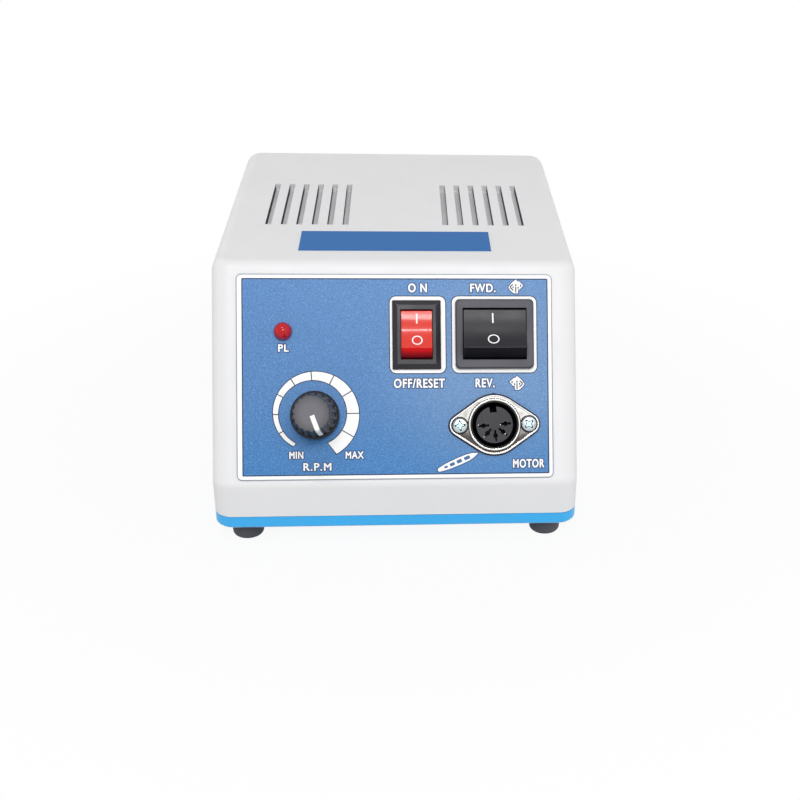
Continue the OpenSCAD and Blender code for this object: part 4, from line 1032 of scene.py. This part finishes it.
# Second finishes: least share of a face's direction along an axis, and reach from the level it lies on
FLAT_SHARE = 0.98
KNOB_TOP_SHARE = 0.9
KNOB_TOP_REACH = 0.5
PLATE_REACH = 0.05
SLOT_REACH = 0.1
# Lean of a rocker's end walls: the lower one falls past the first of these, and the upper one rises past
# the second and looks out less than the third
LOWER_END_FALL = -0.45
UPPER_END_RISE = 0.7
UPPER_END_OUT = 0.72
# Radius past which the flange's edge and lip lie, and least share of their outward and inward lean
FLANGE_INNER = 8.6
EDGE_LEAN = 0.3
LIP_LEAN = 0.5
screen_low, screen_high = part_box("dust_screens")


def second_finish(piece, finish, chosen):
    """Gives the chosen faces of a piece another finish."""
    number = len(piece.data.materials)
    piece.data.materials.append(finish)
    for face in piece.data.polygons:
        if chosen(face):
            face.material_index = number


def level_of(face):
    """Height of a face's middle above the overlay, in metres."""
    return (TO_FACE @ face.center).z


def is_knob_top(face):
    near_top = level_of(face) > knob_top - KNOB_TOP_REACH * MM
    return near_top and face.normal.dot(face_out) > KNOB_TOP_SHARE


def is_flange_plate(face):
    on_plate = abs(level_of(face) - flange_top) < PLATE_REACH * MM
    return on_plate and face.normal.dot(face_out) > FLAT_SHARE


def is_flange_edge(face):
    """True on the flange's outer edge and on the inner slope of its lip, which take painted shade."""
    reach = TO_FACE @ face.center - Vector((socket_at.x * MM, socket_at.y * MM, 0))
    side = TO_FACE.to_3x3() @ face.normal
    reach.z = 0
    side.z = 0
    lean = EDGE_LEAN if side.dot(reach) > 0 else LIP_LEAN
    return reach.length > FLANGE_INNER * MM and side.length > lean


def is_rocker_end(face):
    """True on the round end walls of a rocker on the front, which take painted shade."""
    rise, out = face.normal.dot(face_up), face.normal.dot(face_out)
    return rise < LOWER_END_FALL or (rise > UPPER_END_RISE and out < UPPER_END_OUT)


def is_vent_wall(face):
    """True on the long walls of the cover's slots, over the dust screens, which take painted shade."""
    above = face.center.z > screen_high.z - SLOT_REACH * MM
    within = screen_low.x < face.center.x < screen_high.x
    return above and within and abs(face.normal.x) > FLAT_SHARE


# Knob top: painted sheen; flange plate: painted dark reflection; flange edge, rocker end walls and slot walls:
# painted shade
SECOND_FINISHES = [
    ("speed_knob", knob_top_sheen, is_knob_top),
    ("socket_shell", nickel_plate_dark_reflection, is_flange_plate),
    ("socket_shell", nickel_edge_shade, is_flange_edge),
    ("power_rocker", red_rocker_end_shade, is_rocker_end),
    ("direction_rocker", black_rocker_end_shade, is_rocker_end),
    ("upper_cover", vent_wall_shade, is_vent_wall),
]


def touch_up(shown):
    """Surfaces that differ from the rest of their piece: painted sheen, shade and dark reflection."""
    for node, finish, chosen in SECOND_FINISHES:
        second_finish(shown[node], finish, chosen)


# Studio, in metres: the floor shows whiter to the camera than it is, and pure white far from the object
FLOOR_HALF = 4.0
FLOOR_TONE = (0.72, 0.72, 0.72)
FLOOR_LIFT = 0.93
FLOOR_FADE = (0.09, 0.24)
AMBIENT = 0.36
WHITE = (1, 1, 1, 1)
# Name, place, aim, width, height and watts of each soft light
LIGHTS = [
    ("front", (0.12, -1.02, 1.0), (0, 0, 0.05), 0.8, 0.22, 9.0),
    ("overhead strip", (-0.1, -0.46, 1.17), (0, 0, 0.06), 0.5, 0.03, 2.4),
    ("rear fill", (-1.1, 1.2, 0.8), (0, 0, 0.05), 1.2, 0.8, 2.0),
    ("left side", (-1.2, -0.15, 0.25), (0, 0, 0.04), 0.9, 0.5, 2.3),
    ("right side", (1.2, -0.15, 0.25), (0, 0, 0.04), 0.9, 0.5, 2.6),
]
# Lights that no polished piece mirrors
DULL_LIGHTS = ("left side", "right side")

# Camera: place from the cover's front and top, lens, sensor, turns, and shift of the picture's middle
CAMERA_SIDE = 3.36
CAMERA_FRONT = 353.26
CAMERA_ABOVE = 152.74
CAMERA_LENS = 58.254
CAMERA_SENSOR = 36
CAMERA_PITCH = 61.14
CAMERA_ROLL = 2.303
CAMERA_YAW = -5.755
CAMERA_SHIFT = (-0.1517, 0.041)


def sight_ray(net):
    """One on the rays that show the backdrop: straight to the camera, in a mirror or through glass."""
    path = net.nodes.new("ShaderNodeLightPath")
    either = add_math(net, "MAXIMUM", path.outputs["Is Camera Ray"], path.outputs["Is Glossy Ray"])
    return add_math(net, "MAXIMUM", either, path.outputs["Is Transmission Ray"])


def show_mix(net, share, first, second, end):
    """Mixes two shaders by a share and shows the mix at the tree's end."""
    mix = net.nodes.new("ShaderNodeMixShader")
    feed_in_order(net, mix, (share, first, second))
    net.links.new(mix.outputs["Shader"], net.nodes[end].inputs["Surface"])


def lay_floor():
    bm = bmesh.new()
    bmesh.ops.create_grid(bm, x_segments=1, y_segments=1, size=FLOOR_HALF)
    mesh = bpy.data.meshes.new("floor")
    bm.to_mesh(mesh)
    bm.free()
    floor = bpy.data.objects.new("floor", mesh)
    bpy.context.scene.collection.objects.link(floor)
    paper = bpy.data.materials.new("floor paper")
    paper.use_nodes = True
    net = paper.node_tree
    shader = net.nodes["Principled BSDF"]
    feed_all(net, shader, {"Base Color": rgba(FLOOR_TONE), "Roughness": 0.9, "Specular IOR Level": 0.1})
    glow = add(net, "ShaderNodeEmission", Color=WHITE, Strength=1)
    reach = add_vector(net, "LENGTH", object_place(net))
    lift = add_range(net, reach, FLOOR_FADE, (FLOOR_LIFT, 1))
    share = add_math(net, "MULTIPLY", sight_ray(net), lift)
    show_mix(net, share, shader.outputs["BSDF"], glow.outputs["Emission"], "Material Output")
    mesh.materials.append(paper)


def light_world():
    world = bpy.data.worlds.new("studio")
    bpy.context.scene.world = world
    world.use_nodes = True
    net = world.node_tree
    ambient = net.nodes["Background"]
    feed_all(net, ambient, {"Color": WHITE, "Strength": AMBIENT})
    seen = add(net, "ShaderNodeBackground", Color=WHITE, Strength=1)
    shades = [node.outputs["Background"] for node in (ambient, seen)]
    show_mix(net, sight_ray(net), *shades, "World Output")


def hang_lights():
    for name, place, aim, width, height, watts in LIGHTS:
        lamp = bpy.data.lights.new(name, "AREA")
        lamp.shape = "RECTANGLE"
        lamp.size = width
        lamp.size_y = height
        lamp.energy = watts
        holder = bpy.data.objects.new(name, lamp)
        holder.location = place
        holder.rotation_euler = (Vector(aim) - Vector(place)).to_track_quat("-Z", "Y").to_euler()
        holder.visible_glossy = name not in DULL_LIGHTS
        bpy.context.scene.collection.objects.link(holder)


def set_camera():
    lens = bpy.data.cameras.new("camera")
    lens.sensor_width = CAMERA_SENSOR
    lens.lens = CAMERA_LENS
    lens.shift_x, lens.shift_y = CAMERA_SHIFT
    camera = bpy.data.objects.new("camera", lens)
    turn = Matrix.Rotation(math.radians(CAMERA_YAW), 3, "Z")
    turn = turn @ Matrix.Rotation(math.radians(CAMERA_PITCH), 3, "X")
    turn = turn @ Matrix.Rotation(math.radians(CAMERA_ROLL), 3, "Z")
    camera.rotation_euler = turn.to_euler()
    low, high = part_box("upper_cover")
    camera.location = (CAMERA_SIDE * MM, low.y - CAMERA_FRONT * MM, high.z + CAMERA_ABOVE * MM)
    bpy.context.scene.collection.objects.link(camera)
    bpy.context.scene.camera = camera


set_camera()
light_world()
hang_lights()
lay_floor()

touch_up(dress_nodes())
print_border()
print_switch_frames()
print_dial()
print_words()
print_handpiece()
print_arrows()
mark_knob()
mark_rockers()
paint_socket_shadows()
tip_contacts()
socket_screws()

bpy.context.scene.view_settings.view_transform = "Standard"
